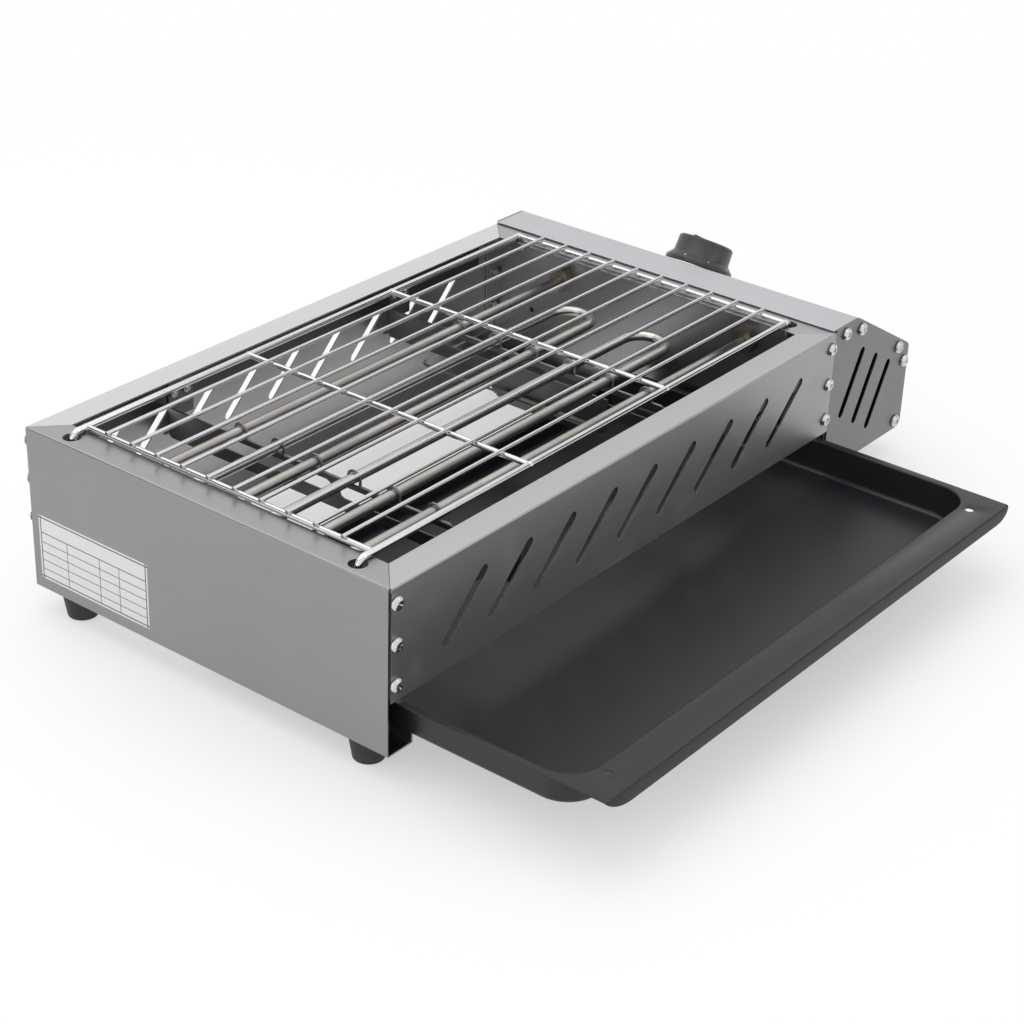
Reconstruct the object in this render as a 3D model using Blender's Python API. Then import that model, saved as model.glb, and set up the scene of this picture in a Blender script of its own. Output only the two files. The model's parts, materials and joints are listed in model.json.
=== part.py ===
"""Table-top electric grill, modelled in metres with +Z up.

A folded steel body carries a lift-off wire rack over a looped heating element. A control box
with a sloped top closes the +X end, and a drip tray slides out towards -Y on two rails.
The object stands on its feet at Z = 0, its outline centred on X = 0 and Y = 0.
Sizes below are in the body's own frame: x from the end panel, y from the front face, z from
the underside of the folded sheet.
"""

import math

import bmesh
import bpy
from mathutils import Matrix, Vector

# Sheet, gaps and cutters
SHEET = 0.0010
GAP = 0.0003
OVERRUN = 0.0040
BEND_RADIUS = 0.0014
BEND_STEPS = 3
MERGE = 0.000001

# Body shell
BODY_LENGTH = 0.4350
BODY_WIDTH = 0.2800
BODY_HEIGHT = 0.1050
TRAY_OPENING = 0.0345
SIDE_FLANGE = 0.0185
END_FLANGE = 0.0200
BOTTOM_FLANGE = 0.0250
RAIL_WIDTH = 0.0210
RAIL_LIP = 0.0097
TAB_WIDTH = 0.0125
TAB_RISE = 0.0020

# Air slots of the long panels
SLOT_COUNT = 9
SLOT_PITCH = 0.0396
SLOT_LENGTH = 0.0510
SLOT_WIDTH = 0.0058
SLOT_LEAN = math.radians(44.5)
SLOT_START = 0.0615
SLOT_HEIGHT = 0.0684
SLOT_STEPS = 4

# Control box
CONTROL_LENGTH = 0.1005
CONTROL_TOP = 0.0281
CONTROL_RISE = 0.0013
CONTROL_FLOOR = 0.0025
NOSE_HEIGHT = 0.0645
NOSE_RADIUS = 0.0050
COVER_LAP = 0.0010
COVER_FLANGE = 0.0120
COVER_FLANGE_FOOT = 0.0165
FLOOR_WALL = 0.0115
VENT_COUNT = 3
VENT_PITCH = 0.0212
VENT_LENGTH = 0.0497
VENT_WIDTH = 0.0058
VENT_LEAN = math.radians(62.3)
VENT_START = 0.0264
VENT_HEIGHT = 0.0607

# Panel screws
SCREW_HEAD_RADIUS = 0.0043
SCREW_HEAD_HEIGHT = 0.0027
SCREW_HEAD_EDGE = 0.0009
SCREW_CROWN_RADIUS = 0.0029
SCREW_SHANK_RADIUS = 0.0019
SCREW_LENGTH = 0.0050
SCREW_STEPS = 10
SCREW_INSET = 0.0050
SCREW_TOP = 0.0100
SCREW_PITCH = 0.0250
COLUMN_SCREWS = 3
SIDE_SCREW_INSET = 0.0060
SIDE_SCREW_START = 0.0120
SIDE_SCREW_BROW = 0.0060
SIDE_SCREW_CHIN = 0.0110
SIDE_SCREW_NOSE = 0.0075
FLOOR_SCREW_INSET = 0.0090
FLOOR_SCREW_HEIGHT = 0.0065

# Rack
RACK_HALF_WIDTH = 0.1095
RACK_HOLE_INSET = 0.0094
RACK_HOLE_RADIUS = 0.0055
RACK_LEG = 0.0080
RACK_BEND = 0.0055
OUTER_WIRE_RADIUS = 0.0021
CROSS_WIRE_RADIUS = 0.0018
ROD_RADIUS = 0.0013
WELD_SINK = 0.0004
ROD_COUNT = 10
ROD_PITCH = 0.02006
ROD_END = 0.0026
CROSS_WIRE_COUNT = 4
CROSS_WIRE_INSET = 0.0210
CROSS_WIRE_END_INSET = 0.0140
WIRE_SIDES = 8
BEND_POINTS = 4

# Heating element
ELEMENT_RADIUS = 0.00325
ELEMENT_HEIGHT = 0.0810
ELEMENT_RUNS = 6
ELEMENT_PITCH = 0.0304
ELEMENT_SHIFT = 0.0020
ELEMENT_NEAR = 0.0420
ELEMENT_FAR = 0.0412
ELEMENT_STUB = 0.0110
ELEMENT_SIDES = 10
ELEMENT_TURN_STEPS = 8
ELEMENT_TURN_EASE = 0.00001
ELEMENT_MERGE = 0.0001
PIN_RADIUS = 0.0016
PIN_LENGTH = 0.0150
PIN_STEPS = 8
FITTING_BORE_GAP = 0.0004
FITTING_COLLAR_RADIUS = 0.0055
FITTING_NUT_RADIUS = 0.0090
FITTING_NUT_LENGTH = 0.0060
FITTING_STEPS = 12

# Supports under the element
STRIP_INSET = 0.1125
STRIP_SPACING = 0.2055
STRIP_COUNT = 2
STRIP_FOOT = 0.0570
STRIP_CORNER = 0.0030
STRIP_TAB = 0.0210
STRIP_TAB_FOOT = 0.0690
STRIP_LEG_TOP = 0.0950
STRIP_WINDOW = 0.0080
STRIP_WINDOW_HEIGHT = 0.0697
STRIP_SOLID_END = 0.0430
STRIP_POST = 0.0060
HOLDER_SHEET = 0.0010
HOLDER_WALL = 0.0018
HOLDER_MARGIN = 0.0070
HOLDER_NOTCH_GAP = 0.0005
HOLDER_STEPS = 5

# Thermostat, knob and dial ring, measured along the slope and along its normal
KNOB_DOWN_SLOPE = 0.0385
KNOB_OFFSET = 0.0100
KNOB_RADIUS = 0.0195
KNOB_CROWN_RADIUS = 0.0182
KNOB_SKIRT_RADIUS = 0.0240
KNOB_SKIRT_EDGE = 0.0030
KNOB_NECK_HEIGHT = 0.0080
KNOB_TOP = 0.0210
KNOB_CROWN_DROP = 0.0010
KNOB_LIFT = 0.0018
KNOB_HOLLOW_RADIUS = 0.0150
KNOB_HOLLOW_HEIGHT = 0.0100
KNOB_BOSS_RADIUS = 0.0058
KNOB_STEPS = 28
POINTER_WIDTH = 0.0026
POINTER_LENGTH = 0.0120
POINTER_RISE = 0.0010
POINTER_SINK = 0.0020
RING_RADIUS = 0.0270
RING_BORE = 0.0070
RING_SHEET = 0.0008
RING_STEPS = 24
SHAFT_RADIUS = 0.0030
SHAFT_TOP = 0.0145
SHAFT_BOTTOM = 0.0120
SHAFT_CLEARANCE = 0.0003
SHAFT_STEPS = 12
THERMOSTAT_NECK_RADIUS = 0.0050
THERMOSTAT_NECK_TOP = 0.0010
THERMOSTAT_RADIUS = 0.0200
THERMOSTAT_DEPTH = 0.0250
THERMOSTAT_STEPS = 16
SLOPE_HOLE_CLEARANCE = 0.0005

# Bulb, capillary, bracket
BULB_RADIUS = 0.0025
BULB_LENGTH = 0.0700
BULB_REAR = 0.1050
BULB_NECK = 0.0040
CAPILLARY_RADIUS = 0.0009
CAPILLARY_REAR = 0.0340
CAPILLARY_HOLE_RADIUS = 0.0020
CAPILLARY_BEND = 0.0060
CAPILLARY_RISE = 0.0130
CAPILLARY_SIDES = 6
BRACKET_LENGTH = 0.0940
BRACKET_FOOT = 0.0447
BRACKET_TOP = 0.0695
BRACKET_CORNER = 0.0040
BRACKET_SHELF = 0.0700
EAR_HEIGHT = 0.0045
EAR_FIT = 0.0004

# Terminal block, leads and gland
BLOCK_LENGTH = 0.0300
BLOCK_WIDTH = 0.0340
BLOCK_HEIGHT = 0.0180
BLOCK_INSET = 0.0180
BLOCK_REAR = 0.0600
BLOCK_STEP = 0.0060
LEAD_RADIUS = 0.0013
LEAD_BEND = 0.0050
LEAD_SIDES = 6
LEAD_OUT = 0.0060
LEAD_RISE = 0.0120
GLAND_INSET = 0.0850
GLAND_HEIGHT = 0.0245
GLAND_NECK_RADIUS = 0.0060
GLAND_COLLAR_RADIUS = 0.0095
GLAND_COLLAR_LENGTH = 0.0030
GLAND_BARREL_RADIUS = 0.0065
GLAND_OUT = 0.0120
GLAND_BORE = 0.0034
GLAND_NUT_RADIUS = 0.0085
GLAND_STEPS = 16

# Feet
FOOT_HEIGHT = 0.0160
FOOT_TOP_RADIUS = 0.0115
FOOT_BASE_RADIUS = 0.0090
FOOT_END_INSET = 0.0133
FOOT_SIDE_INSET = 0.0260
FOOT_RECESS_RADIUS = 0.0050
FOOT_RECESS_DEPTH = 0.0070
FOOT_EDGE = 0.0010
FOOT_STEPS = 14
BOLT_RADIUS = 0.0020
BOLT_HEAD_RADIUS = 0.0042
BOLT_HEAD_HEIGHT = 0.0025
BOLT_NUT_RADIUS = 0.0038
BOLT_NUT_HEIGHT = 0.0030
BOLT_STEPS = 8

# Drip tray
TRAY_SHEET = 0.0008
TRAY_RIM_HEIGHT = 0.0320
TRAY_RIM_INSET = 0.0072
TRAY_RIM_WIDTH = 0.0040
TRAY_DEPTH = 0.2760
TRAY_LEDGE = 0.0270
TRAY_LEDGE_FLAT = 0.0245
TRAY_PULLED = 0.1130
TRAY_WALL_LEAN = 0.0020
TRAY_BOTTOM_RADIUS = 0.0040
TRAY_CORNER_RADIUS = 0.0220
TRAY_CORNER_STEPS = 5
TRAY_LIP_RADIUS = 0.0065
TRAY_LIP_STEPS = 4
TRAY_LIP_END = 0.0200
TRAY_HOLE_RADIUS = 0.00275
TRAY_HOLE_END = 0.0220
TRAY_HOLE_FRONT = 0.0180
TRAY_HOLE_STEPS = 10
KNUCKLE_SHARE = 0.45

# Places that follow from the sizes above
INNER_Y = SHEET + GAP
PANEL_END = BODY_LENGTH + GAP
CONTROL_END = BODY_LENGTH + CONTROL_LENGTH
COVER_TOP = BODY_HEIGHT + CONTROL_RISE
WIRE_HEIGHT = BODY_HEIGHT + GAP + OUTER_WIRE_RADIUS
KNOB_ACROSS = BODY_WIDTH / 2 + KNOB_OFFSET
CAPILLARY_ACROSS = BODY_WIDTH - CAPILLARY_REAR
SHEET_TO_SLOPE = math.atan2(COVER_TOP - NOSE_HEIGHT, CONTROL_LENGTH - CONTROL_TOP)
RUN_FIRST = BODY_WIDTH / 2 + ELEMENT_SHIFT - ELEMENT_PITCH * (ELEMENT_RUNS - 1) / 2
RUN_LAST = RUN_FIRST + ELEMENT_PITCH * (ELEMENT_RUNS - 1)
FLOOR_TOP = CONTROL_FLOOR + SHEET
STRIP_TOP = ELEMENT_HEIGHT - ELEMENT_RADIUS - GAP
BULB_HEIGHT = BRACKET_FOOT + SHEET + GAP + BULB_RADIUS
TRAY_REACH = TRAY_PULLED + TRAY_LEDGE


def finish(name, colour, roughness, metallic):
    """Principled material with one colour, roughness and metallic value."""
    made = bpy.data.materials.new(name)
    made.use_nodes = True
    shader = made.node_tree.nodes["Principled BSDF"]
    shader.inputs["Base Color"].default_value = (*colour, 1.0)
    shader.inputs["Roughness"].default_value = roughness
    shader.inputs["Metallic"].default_value = metallic
    made.diffuse_color = (*colour, 1.0)
    return made


def add(name, shape, looks, parent, smooth=False):
    """Object with the given mesh, under its parent and with its own finish."""
    bmesh.ops.recalc_face_normals(shape, faces=shape.faces)
    mesh = bpy.data.meshes.new(name)
    shape.to_mesh(mesh)
    shape.free()
    if looks is not None:
        mesh.materials.append(looks)
    if smooth:
        mesh.shade_smooth()
        mesh.set_sharp_from_angle(angle=math.radians(35))
    made = bpy.data.objects.new(name, mesh)
    bpy.context.scene.collection.objects.link(made)
    made.parent = parent
    return made


def combine(target, shape, label, operation):
    """Boolean on a target with a hidden guide object beside it."""
    guide = add(f"{target.name}_{label}", shape, None, target.parent)
    guide.location = target.location
    guide.rotation_euler = target.rotation_euler
    guide.hide_render = True
    guide.display_type = "WIRE"
    modifier = target.modifiers.new(label, "BOOLEAN")
    modifier.operation = operation
    modifier.solver = "EXACT"
    modifier.object = guide


def cut(target, shape, label):
    combine(target, shape, label, "DIFFERENCE")


def join(target, shape, label):
    combine(target, shape, label, "UNION")


def rounded(points, radii, steps, closed=True):
    """The points with each corner replaced by an arc; a radius of zero keeps the corner."""
    result = []
    last = len(points) - 1
    for index, point in enumerate(points):
        corner = Vector(point)
        open_end = not closed and index in (0, last)
        if radii[index] == 0 or open_end:
            result.append(tuple(corner))
            continue
        back = (Vector(points[index - 1]) - corner).normalized()
        ahead = (Vector(points[(index + 1) % len(points)]) - corner).normalized()
        half = math.acos(max(-1, min(1, back.dot(ahead)))) / 2
        centre = corner + (back + ahead).normalized() * (radii[index] / math.sin(half))
        reach = radii[index] / math.tan(half)
        first = (corner + back * reach - centre).normalized()
        end = (corner + ahead * reach - centre).normalized()
        turn = math.pi - 2 * half
        for step in range(steps + 1):
            share = step / steps
            spoke = first * math.sin((1 - share) * turn) + end * math.sin(share * turn)
            result.append(tuple(centre + spoke * (radii[index] / math.sin(turn))))
    return result


def inset(points, distance):
    """A closed outline, listed anticlockwise, moved inwards by a distance."""
    result = []
    for index, point in enumerate(points):
        back = (Vector(point) - Vector(points[index - 1])).normalized()
        ahead = (Vector(points[(index + 1) % len(points)]) - Vector(point)).normalized()
        normals = Vector((-back.y, back.x)), Vector((-ahead.y, ahead.x))
        shift = (normals[0] + normals[1]) / (1 + normals[0].dot(normals[1]))
        result.append(tuple(Vector(point) + shift * distance))
    return result


def rectangle(low, high):
    return [(low[0], low[1]), (high[0], low[1]), (high[0], high[1]), (low[0], high[1])]


def circle(centre, radius, steps):
    angles = [math.tau * step / steps for step in range(steps)]
    return [(centre[0] + radius * math.cos(a), centre[1] + radius * math.sin(a)) for a in angles]


def slot(centre, length, width, lean):
    """Outline of a slot with round ends, leaning from the first axis towards the second."""
    outline = []
    for side in (1, -1):
        for step in range(SLOT_STEPS + 1):
            angle = math.pi * (step / SLOT_STEPS - side / 2)
            along = side * (length - width) / 2 + width / 2 * math.cos(angle)
            across = width / 2 * math.sin(angle)
            outline.append(
                (
                    centre[0] + along * math.cos(lean) - across * math.sin(lean),
                    centre[1] + along * math.sin(lean) + across * math.cos(lean),
                )
            )
    return outline


def loft(shape, rings):
    """Closed body through rings of equal counts, with a face over each end."""
    loops = [[shape.verts.new(point) for point in ring] for ring in rings]
    for lower, upper in zip(loops, loops[1:]):
        for index in range(len(lower)):
            shape.faces.new((lower[index - 1], lower[index], upper[index], upper[index - 1]))
    shape.faces.new(loops[0])
    shape.faces.new(loops[-1])


def prism(shape, outline, axis, low, high):
    """Straight body of one outline between two levels on an axis."""
    place = {
        "X": lambda a, b, level: (level, a, b),
        "Y": lambda a, b, level: (a, level, b),
        "Z": lambda a, b, level: (a, b, level),
    }[axis]
    loft(shape, [[place(a, b, level) for a, b in outline] for level in (low, high)])


def turned(shape, profile, steps, frame=Matrix(), ring=False):
    """Body of revolution about the frame's Z, from (radius, height) points."""
    points = [shape.verts.new(frame @ Vector((radius, 0, height))) for radius, height in profile]
    edges = [shape.edges.new(pair) for pair in zip(points, points[1:])]
    if ring:
        edges.append(shape.edges.new((points[-1], points[0])))
    bmesh.ops.spin(
        shape,
        geom=points + edges,
        axis=frame.to_3x3() @ Vector((0, 0, 1)),
        cent=frame.translation,
        angle=math.tau,
        steps=steps,
        use_merge=True,
    )
    bmesh.ops.remove_doubles(shape, verts=shape.verts, dist=MERGE)


def sweep(shape, path, radii, sides):
    """Tube of round section along a path, with one radius for each point."""
    points = [Vector(point) for point in path]
    rings = []
    side = None
    for index, point in enumerate(points):
        ahead = points[min(index + 1, len(points) - 1)] - point
        back = point - points[max(index - 1, 0)]
        along = (ahead.normalized() + back.normalized()).normalized()
        if side is None:
            side = along.orthogonal()
        side = (side - along * side.dot(along)).normalized()
        up = along.cross(side)
        ring = []
        for step in range(sides):
            angle = math.tau * (step + 1 / 2) / sides
            ring.append(point + (side * math.cos(angle) + up * math.sin(angle)) * radii[index])
        rings.append(ring)
    loft(shape, rings)


def screw_holes(shape, places, radius, low, high):
    """Round cutters along Y at (x, z) places."""
    for place in places:
        prism(shape, circle(place, radius, SCREW_STEPS), "Y", low, high)


def column_places():
    """The (x, z) places of the screws in the two end columns of a long panel."""
    heights = [BODY_HEIGHT - SCREW_TOP - SCREW_PITCH * row for row in range(COLUMN_SCREWS)]
    return [(x, z) for x in (SCREW_INSET, BODY_LENGTH - SCREW_INSET) for z in heights]


def control_outline(start):
    """Side view of the control box, anticlockwise in x and z, from a given start in x."""
    return [
        (start, CONTROL_FLOOR),
        (CONTROL_END, CONTROL_FLOOR),
        (CONTROL_END, NOSE_HEIGHT),
        (BODY_LENGTH + CONTROL_TOP, COVER_TOP),
        (start, COVER_TOP),
    ]


def side_screw_places():
    """The (x, z) places of the screws in a control box side plate."""
    line = inset(control_outline(BODY_LENGTH), SIDE_SCREW_INSET)
    nose, brow = Vector(line[2]), Vector(line[3])
    down = (nose - brow).normalized()
    return [
        (BODY_LENGTH + SIDE_SCREW_START, brow.y),
        tuple(brow + down * SIDE_SCREW_BROW),
        tuple(nose - down * SIDE_SCREW_CHIN),
        (nose.x, nose.y - SIDE_SCREW_NOSE),
        (CONTROL_END - FLOOR_SCREW_INSET, CONTROL_FLOOR + FLOOR_SCREW_HEIGHT),
    ]


def mitre(start_gap):
    """Triangle over the corner at (0, 0) up to the seam between an end flange and a side flange."""
    far = END_FLANGE + OVERRUN
    lean = SIDE_FLANGE / END_FLANGE
    return [
        (-OVERRUN, -OVERRUN * lean + start_gap),
        (-OVERRUN, -OVERRUN - SHEET),
        (far, -OVERRUN - SHEET),
        (far, far * lean + start_gap),
    ]


def end_wall(name, looks, frame, from_end):
    """Folded end wall with top flange, tray rail and corner tabs; from_end maps its depth to x."""
    height = BODY_HEIGHT
    block = rectangle((0, 0), (RAIL_WIDTH, height))
    block = rounded(block, (BEND_RADIUS, 0, 0, BEND_RADIUS), BEND_STEPS)
    tab_foot = TRAY_OPENING + TAB_RISE
    through = [
        (SHEET, SHEET),
        (RAIL_WIDTH - SHEET, SHEET),
        (RAIL_WIDTH - SHEET, RAIL_LIP),
        (RAIL_WIDTH + OVERRUN, RAIL_LIP),
        (RAIL_WIDTH + OVERRUN, height + OVERRUN),
        (END_FLANGE, height + OVERRUN),
        (END_FLANGE, height - SHEET),
        (TAB_WIDTH, height - SHEET),
        (TAB_WIDTH, tab_foot),
        (SHEET, tab_foot),
    ]
    pocket = rectangle((SHEET, tab_foot - OVERRUN), (TAB_WIDTH + OVERRUN, height - SHEET))

    def mapped(outline):
        return [(from_end(depth), level) for depth, level in outline]

    shape = bmesh.new()
    prism(shape, mapped(block), "Y", INNER_Y, BODY_WIDTH - INNER_Y)
    wall = add(name, shape, looks, frame)

    shape = bmesh.new()
    prism(shape, mapped(through), "Y", -OVERRUN, BODY_WIDTH + OVERRUN)
    cut(wall, shape, "channel")

    shape = bmesh.new()
    prism(shape, mapped(pocket), "Y", INNER_Y + SHEET, BODY_WIDTH - INNER_Y - SHEET)
    cut(wall, shape, "pocket")

    shape = bmesh.new()
    low = height - SHEET - GAP
    for rear in (False, True):
        outline = [(from_end(depth), BODY_WIDTH - y if rear else y) for depth, y in mitre(GAP / 2)]
        prism(shape, outline, "Z", low, height + OVERRUN)
    cut(wall, shape, "mitres")

    shape = bmesh.new()
    for side in (-1, 1):
        y = BODY_WIDTH / 2 + side * RACK_HALF_WIDTH
        hole = circle((from_end(RACK_HOLE_INSET), y), RACK_HOLE_RADIUS, FOOT_STEPS)
        prism(shape, hole, "Z", height - SHEET - OVERRUN, height + OVERRUN)
    for y in (FOOT_SIDE_INSET, BODY_WIDTH - FOOT_SIDE_INSET):
        hole = circle((from_end(FOOT_END_INSET), y), BOLT_RADIUS + GAP, BOLT_STEPS)
        prism(shape, hole, "Z", -OVERRUN, SHEET + OVERRUN)
    cut(wall, shape, "flange_holes")

    shape = bmesh.new()
    places = [(x, z) for x, z in column_places() if abs(x - from_end(0)) < BODY_LENGTH / 2]
    for y in (INNER_Y, BODY_WIDTH - INNER_Y - SHEET):
        screw_holes(shape, places, SCREW_SHANK_RADIUS + GAP, y - OVERRUN / 2, y + SHEET + OVERRUN / 2)
    cut(wall, shape, "tab_holes")
    return wall


def left_end_panel(looks, frame):
    return end_wall("left_end_panel", looks, frame, lambda depth: depth)


def divider_panel(looks, frame):
    """The wall between the cooking space and the control box, with the element's passages."""
    wall = end_wall("divider_panel", looks, frame, lambda depth: BODY_LENGTH - depth)
    shape = bmesh.new()
    low, high = BODY_LENGTH - SHEET - OVERRUN, BODY_LENGTH + OVERRUN
    for y in (RUN_FIRST, RUN_LAST):
        hole = circle((y, ELEMENT_HEIGHT), FITTING_COLLAR_RADIUS + GAP, FITTING_STEPS)
        prism(shape, hole, "X", low, high)
    hole = circle((CAPILLARY_ACROSS, BULB_HEIGHT), CAPILLARY_HOLE_RADIUS, SCREW_STEPS)
    prism(shape, hole, "X", low, high)
    cut(wall, shape, "passages")
    return wall


def long_panel(name, looks, frame, rear):
    """Long side wall with its top flange and slanted slots; the rear one also has a bottom flange."""
    height = BODY_HEIGHT
    if rear:
        block = rectangle((0, 0), (BOTTOM_FLANGE, height))
        block = rounded(block, (BEND_RADIUS, 0, 0, BEND_RADIUS), BEND_STEPS)
        void = [
            (SHEET, SHEET),
            (BOTTOM_FLANGE + OVERRUN, SHEET),
            (BOTTOM_FLANGE + OVERRUN, height + OVERRUN),
            (SIDE_FLANGE, height + OVERRUN),
            (SIDE_FLANGE, height - SHEET),
            (SHEET, height - SHEET),
        ]
    else:
        block = rectangle((0, TRAY_OPENING), (SIDE_FLANGE, height))
        block = rounded(block, (0, 0, 0, BEND_RADIUS), BEND_STEPS)
        void = rectangle((SHEET, TRAY_OPENING - OVERRUN), (SIDE_FLANGE + OVERRUN, height - SHEET))

    def face(depth):
        return BODY_WIDTH - depth if rear else depth

    shape = bmesh.new()
    outline = [(face(depth), level) for depth, level in block]
    prism(shape, outline, "X", BEND_RADIUS, BODY_LENGTH)
    panel = add(name, shape, looks, frame)

    shape = bmesh.new()
    outline = [(face(depth), level) for depth, level in void]
    prism(shape, outline, "X", -OVERRUN, BODY_LENGTH + OVERRUN)
    cut(panel, shape, "fold")

    shape = bmesh.new()
    lean = END_FLANGE / SIDE_FLANGE
    far = SIDE_FLANGE + OVERRUN
    for end in (False, True):
        outline = []
        for depth in (SHEET, far):
            outline.append((depth * lean + GAP / 2, face(depth)))
        outline.append((-OVERRUN, face(far)))
        outline.append((-OVERRUN, face(SHEET)))
        if end:
            outline = [(BODY_LENGTH - x, y) for x, y in outline]
        prism(shape, outline, "Z", height - SHEET - OVERRUN, height + OVERRUN)
    if rear:
        rail = RAIL_WIDTH + GAP
        for low, high in ((-OVERRUN, rail), (BODY_LENGTH - rail, BODY_LENGTH + OVERRUN)):
            outline = rectangle((low, face(BOTTOM_FLANGE + OVERRUN)), (high, face(SHEET)))
            prism(shape, outline, "Z", -OVERRUN, SHEET + OVERRUN)
    cut(panel, shape, "mitres")

    shape = bmesh.new()
    low, high = sorted((face(-OVERRUN), face(SHEET + OVERRUN)))
    for index in range(SLOT_COUNT):
        place = (SLOT_START + SLOT_PITCH * index, SLOT_HEIGHT)
        prism(shape, slot(place, SLOT_LENGTH, SLOT_WIDTH, SLOT_LEAN), "Y", low, high)
    screw_holes(shape, column_places(), SCREW_SHANK_RADIUS + GAP, low, high)
    cut(panel, shape, "slots")
    return panel


def control_cover(looks, frame, slope):
    """Top, sloped face and nose of the control box in one fold, with inner side flanges."""
    start = BODY_LENGTH - COVER_LAP
    sides = (INNER_Y, BODY_WIDTH - INNER_Y)
    outer = rounded(control_outline(start), (0, 0, NOSE_RADIUS, NOSE_RADIUS, 0), BEND_STEPS)
    shape = bmesh.new()
    prism(shape, outer, "Y", *sides)
    cover = add("control_cover", shape, looks, frame)

    core = inset(control_outline(start), SHEET)
    core[0] = (start - OVERRUN, CONTROL_FLOOR - OVERRUN)
    core[1] = (core[1][0], CONTROL_FLOOR - OVERRUN)
    core[4] = (start - OVERRUN, core[4][1])
    inner_radius = NOSE_RADIUS - SHEET
    shape = bmesh.new()
    outline = rounded(core, (0, 0, inner_radius, inner_radius, 0), BEND_STEPS)
    prism(shape, outline, "Y", sides[0] + SHEET, sides[1] - SHEET)
    cut(cover, shape, "core")

    band = inset(control_outline(start), COVER_FLANGE)
    window = [
        (start - OVERRUN, CONTROL_FLOOR - OVERRUN),
        (CONTROL_END - SHEET, CONTROL_FLOOR - OVERRUN),
        (CONTROL_END - SHEET, COVER_FLANGE_FOOT),
        (band[2][0], COVER_FLANGE_FOOT),
        band[2],
        band[3],
        (PANEL_END + SHEET, band[3][1]),
        (PANEL_END + SHEET, COVER_TOP - SHEET),
        (start - OVERRUN, COVER_TOP - SHEET),
    ]
    shape = bmesh.new()
    prism(shape, window, "Y", -OVERRUN, BODY_WIDTH + OVERRUN)
    cut(cover, shape, "window")

    shape = bmesh.new()
    for y in (sides[0], sides[1] - SHEET):
        low, high = y - OVERRUN / 2, y + SHEET + OVERRUN / 2
        screw_holes(shape, side_screw_places()[:-1], SCREW_SHANK_RADIUS + GAP, low, high)
    cut(cover, shape, "screw_holes")

    shape = bmesh.new()
    radius = THERMOSTAT_NECK_RADIUS + SLOPE_HOLE_CLEARANCE
    profile = [(0, OVERRUN), (radius, OVERRUN), (radius, -OVERRUN), (0, -OVERRUN)]
    turned(shape, profile, SHAFT_STEPS, slope)
    cut(cover, shape, "neck_hole")
    return cover


def side_plate(name, looks, frame, low, high, gland):
    """Flat side of the control box with three vents; the rear one also has the gland's hole."""
    outline = control_outline(PANEL_END)
    shape = bmesh.new()
    corners = (0, NOSE_RADIUS, NOSE_RADIUS, NOSE_RADIUS, 0)
    prism(shape, rounded(outline, corners, BEND_STEPS), "Y", low, high)
    plate = add(name, shape, looks, frame)

    shape = bmesh.new()
    for index in range(VENT_COUNT):
        place = (
            BODY_LENGTH + VENT_START + VENT_PITCH * index * math.cos(SHEET_TO_SLOPE),
            VENT_HEIGHT - VENT_PITCH * index * math.sin(SHEET_TO_SLOPE),
        )
        prism(shape, slot(place, VENT_LENGTH, VENT_WIDTH, VENT_LEAN), "Y", low - OVERRUN, high + OVERRUN)
    screw_holes(shape, side_screw_places(), SCREW_SHANK_RADIUS + GAP, low - OVERRUN, high + OVERRUN)
    if gland:
        hole = circle((CONTROL_END - GLAND_INSET, GLAND_HEIGHT), GLAND_NECK_RADIUS + GAP, GLAND_STEPS)
        prism(shape, hole, "Y", low - OVERRUN, high + OVERRUN)
    cut(plate, shape, "vents")
    return plate


def control_base(looks, frame):
    """Floor of the control box, a shallow folded pan."""
    far = CONTROL_END - SHEET - GAP
    top = CONTROL_FLOOR + FLOOR_WALL
    shape = bmesh.new()
    outline = rectangle((PANEL_END, INNER_Y), (far, BODY_WIDTH - INNER_Y))
    prism(shape, outline, "Z", CONTROL_FLOOR, top)
    base = add("control_base", shape, looks, frame)
    shape = bmesh.new()
    prism(shape, inset(outline, SHEET), "Z", FLOOR_TOP, top + OVERRUN)
    cut(base, shape, "hollow")
    shape = bmesh.new()
    for y in (INNER_Y, BODY_WIDTH - INNER_Y - SHEET):
        low, high = y - OVERRUN / 2, y + SHEET + OVERRUN / 2
        screw_holes(shape, side_screw_places()[-1:], SCREW_SHANK_RADIUS + GAP, low, high)
    cut(base, shape, "screw_holes")
    return base


def panel_screws(looks, frame):
    """Pan head screws on the front and the rear, sharing one turned mesh."""
    shape = bmesh.new()
    profile = [
        (0, SCREW_HEAD_HEIGHT),
        (SCREW_CROWN_RADIUS, SCREW_HEAD_HEIGHT - SCREW_HEAD_EDGE / 2),
        (SCREW_HEAD_RADIUS, SCREW_HEAD_EDGE),
        (SCREW_HEAD_RADIUS, 0),
        (SCREW_SHANK_RADIUS, 0),
        (SCREW_SHANK_RADIUS, -SCREW_LENGTH),
        (0, -SCREW_LENGTH),
    ]
    turned(shape, profile, SCREW_STEPS)
    first = None
    for face, y, turn in (("front", -GAP, 1), ("rear", BODY_WIDTH + GAP, -1)):
        for index, (x, z) in enumerate(column_places() + side_screw_places(), 1):
            name = f"screw_{face}_{index:02d}"
            if first is None:
                made = first = add(name, shape, looks, frame, smooth=True)
            else:
                made = bpy.data.objects.new(name, first.data)
                bpy.context.scene.collection.objects.link(made)
                made.parent = frame
            made.location = (x, y, z)
            made.rotation_euler = (turn * math.pi / 2, 0, 0)


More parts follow.
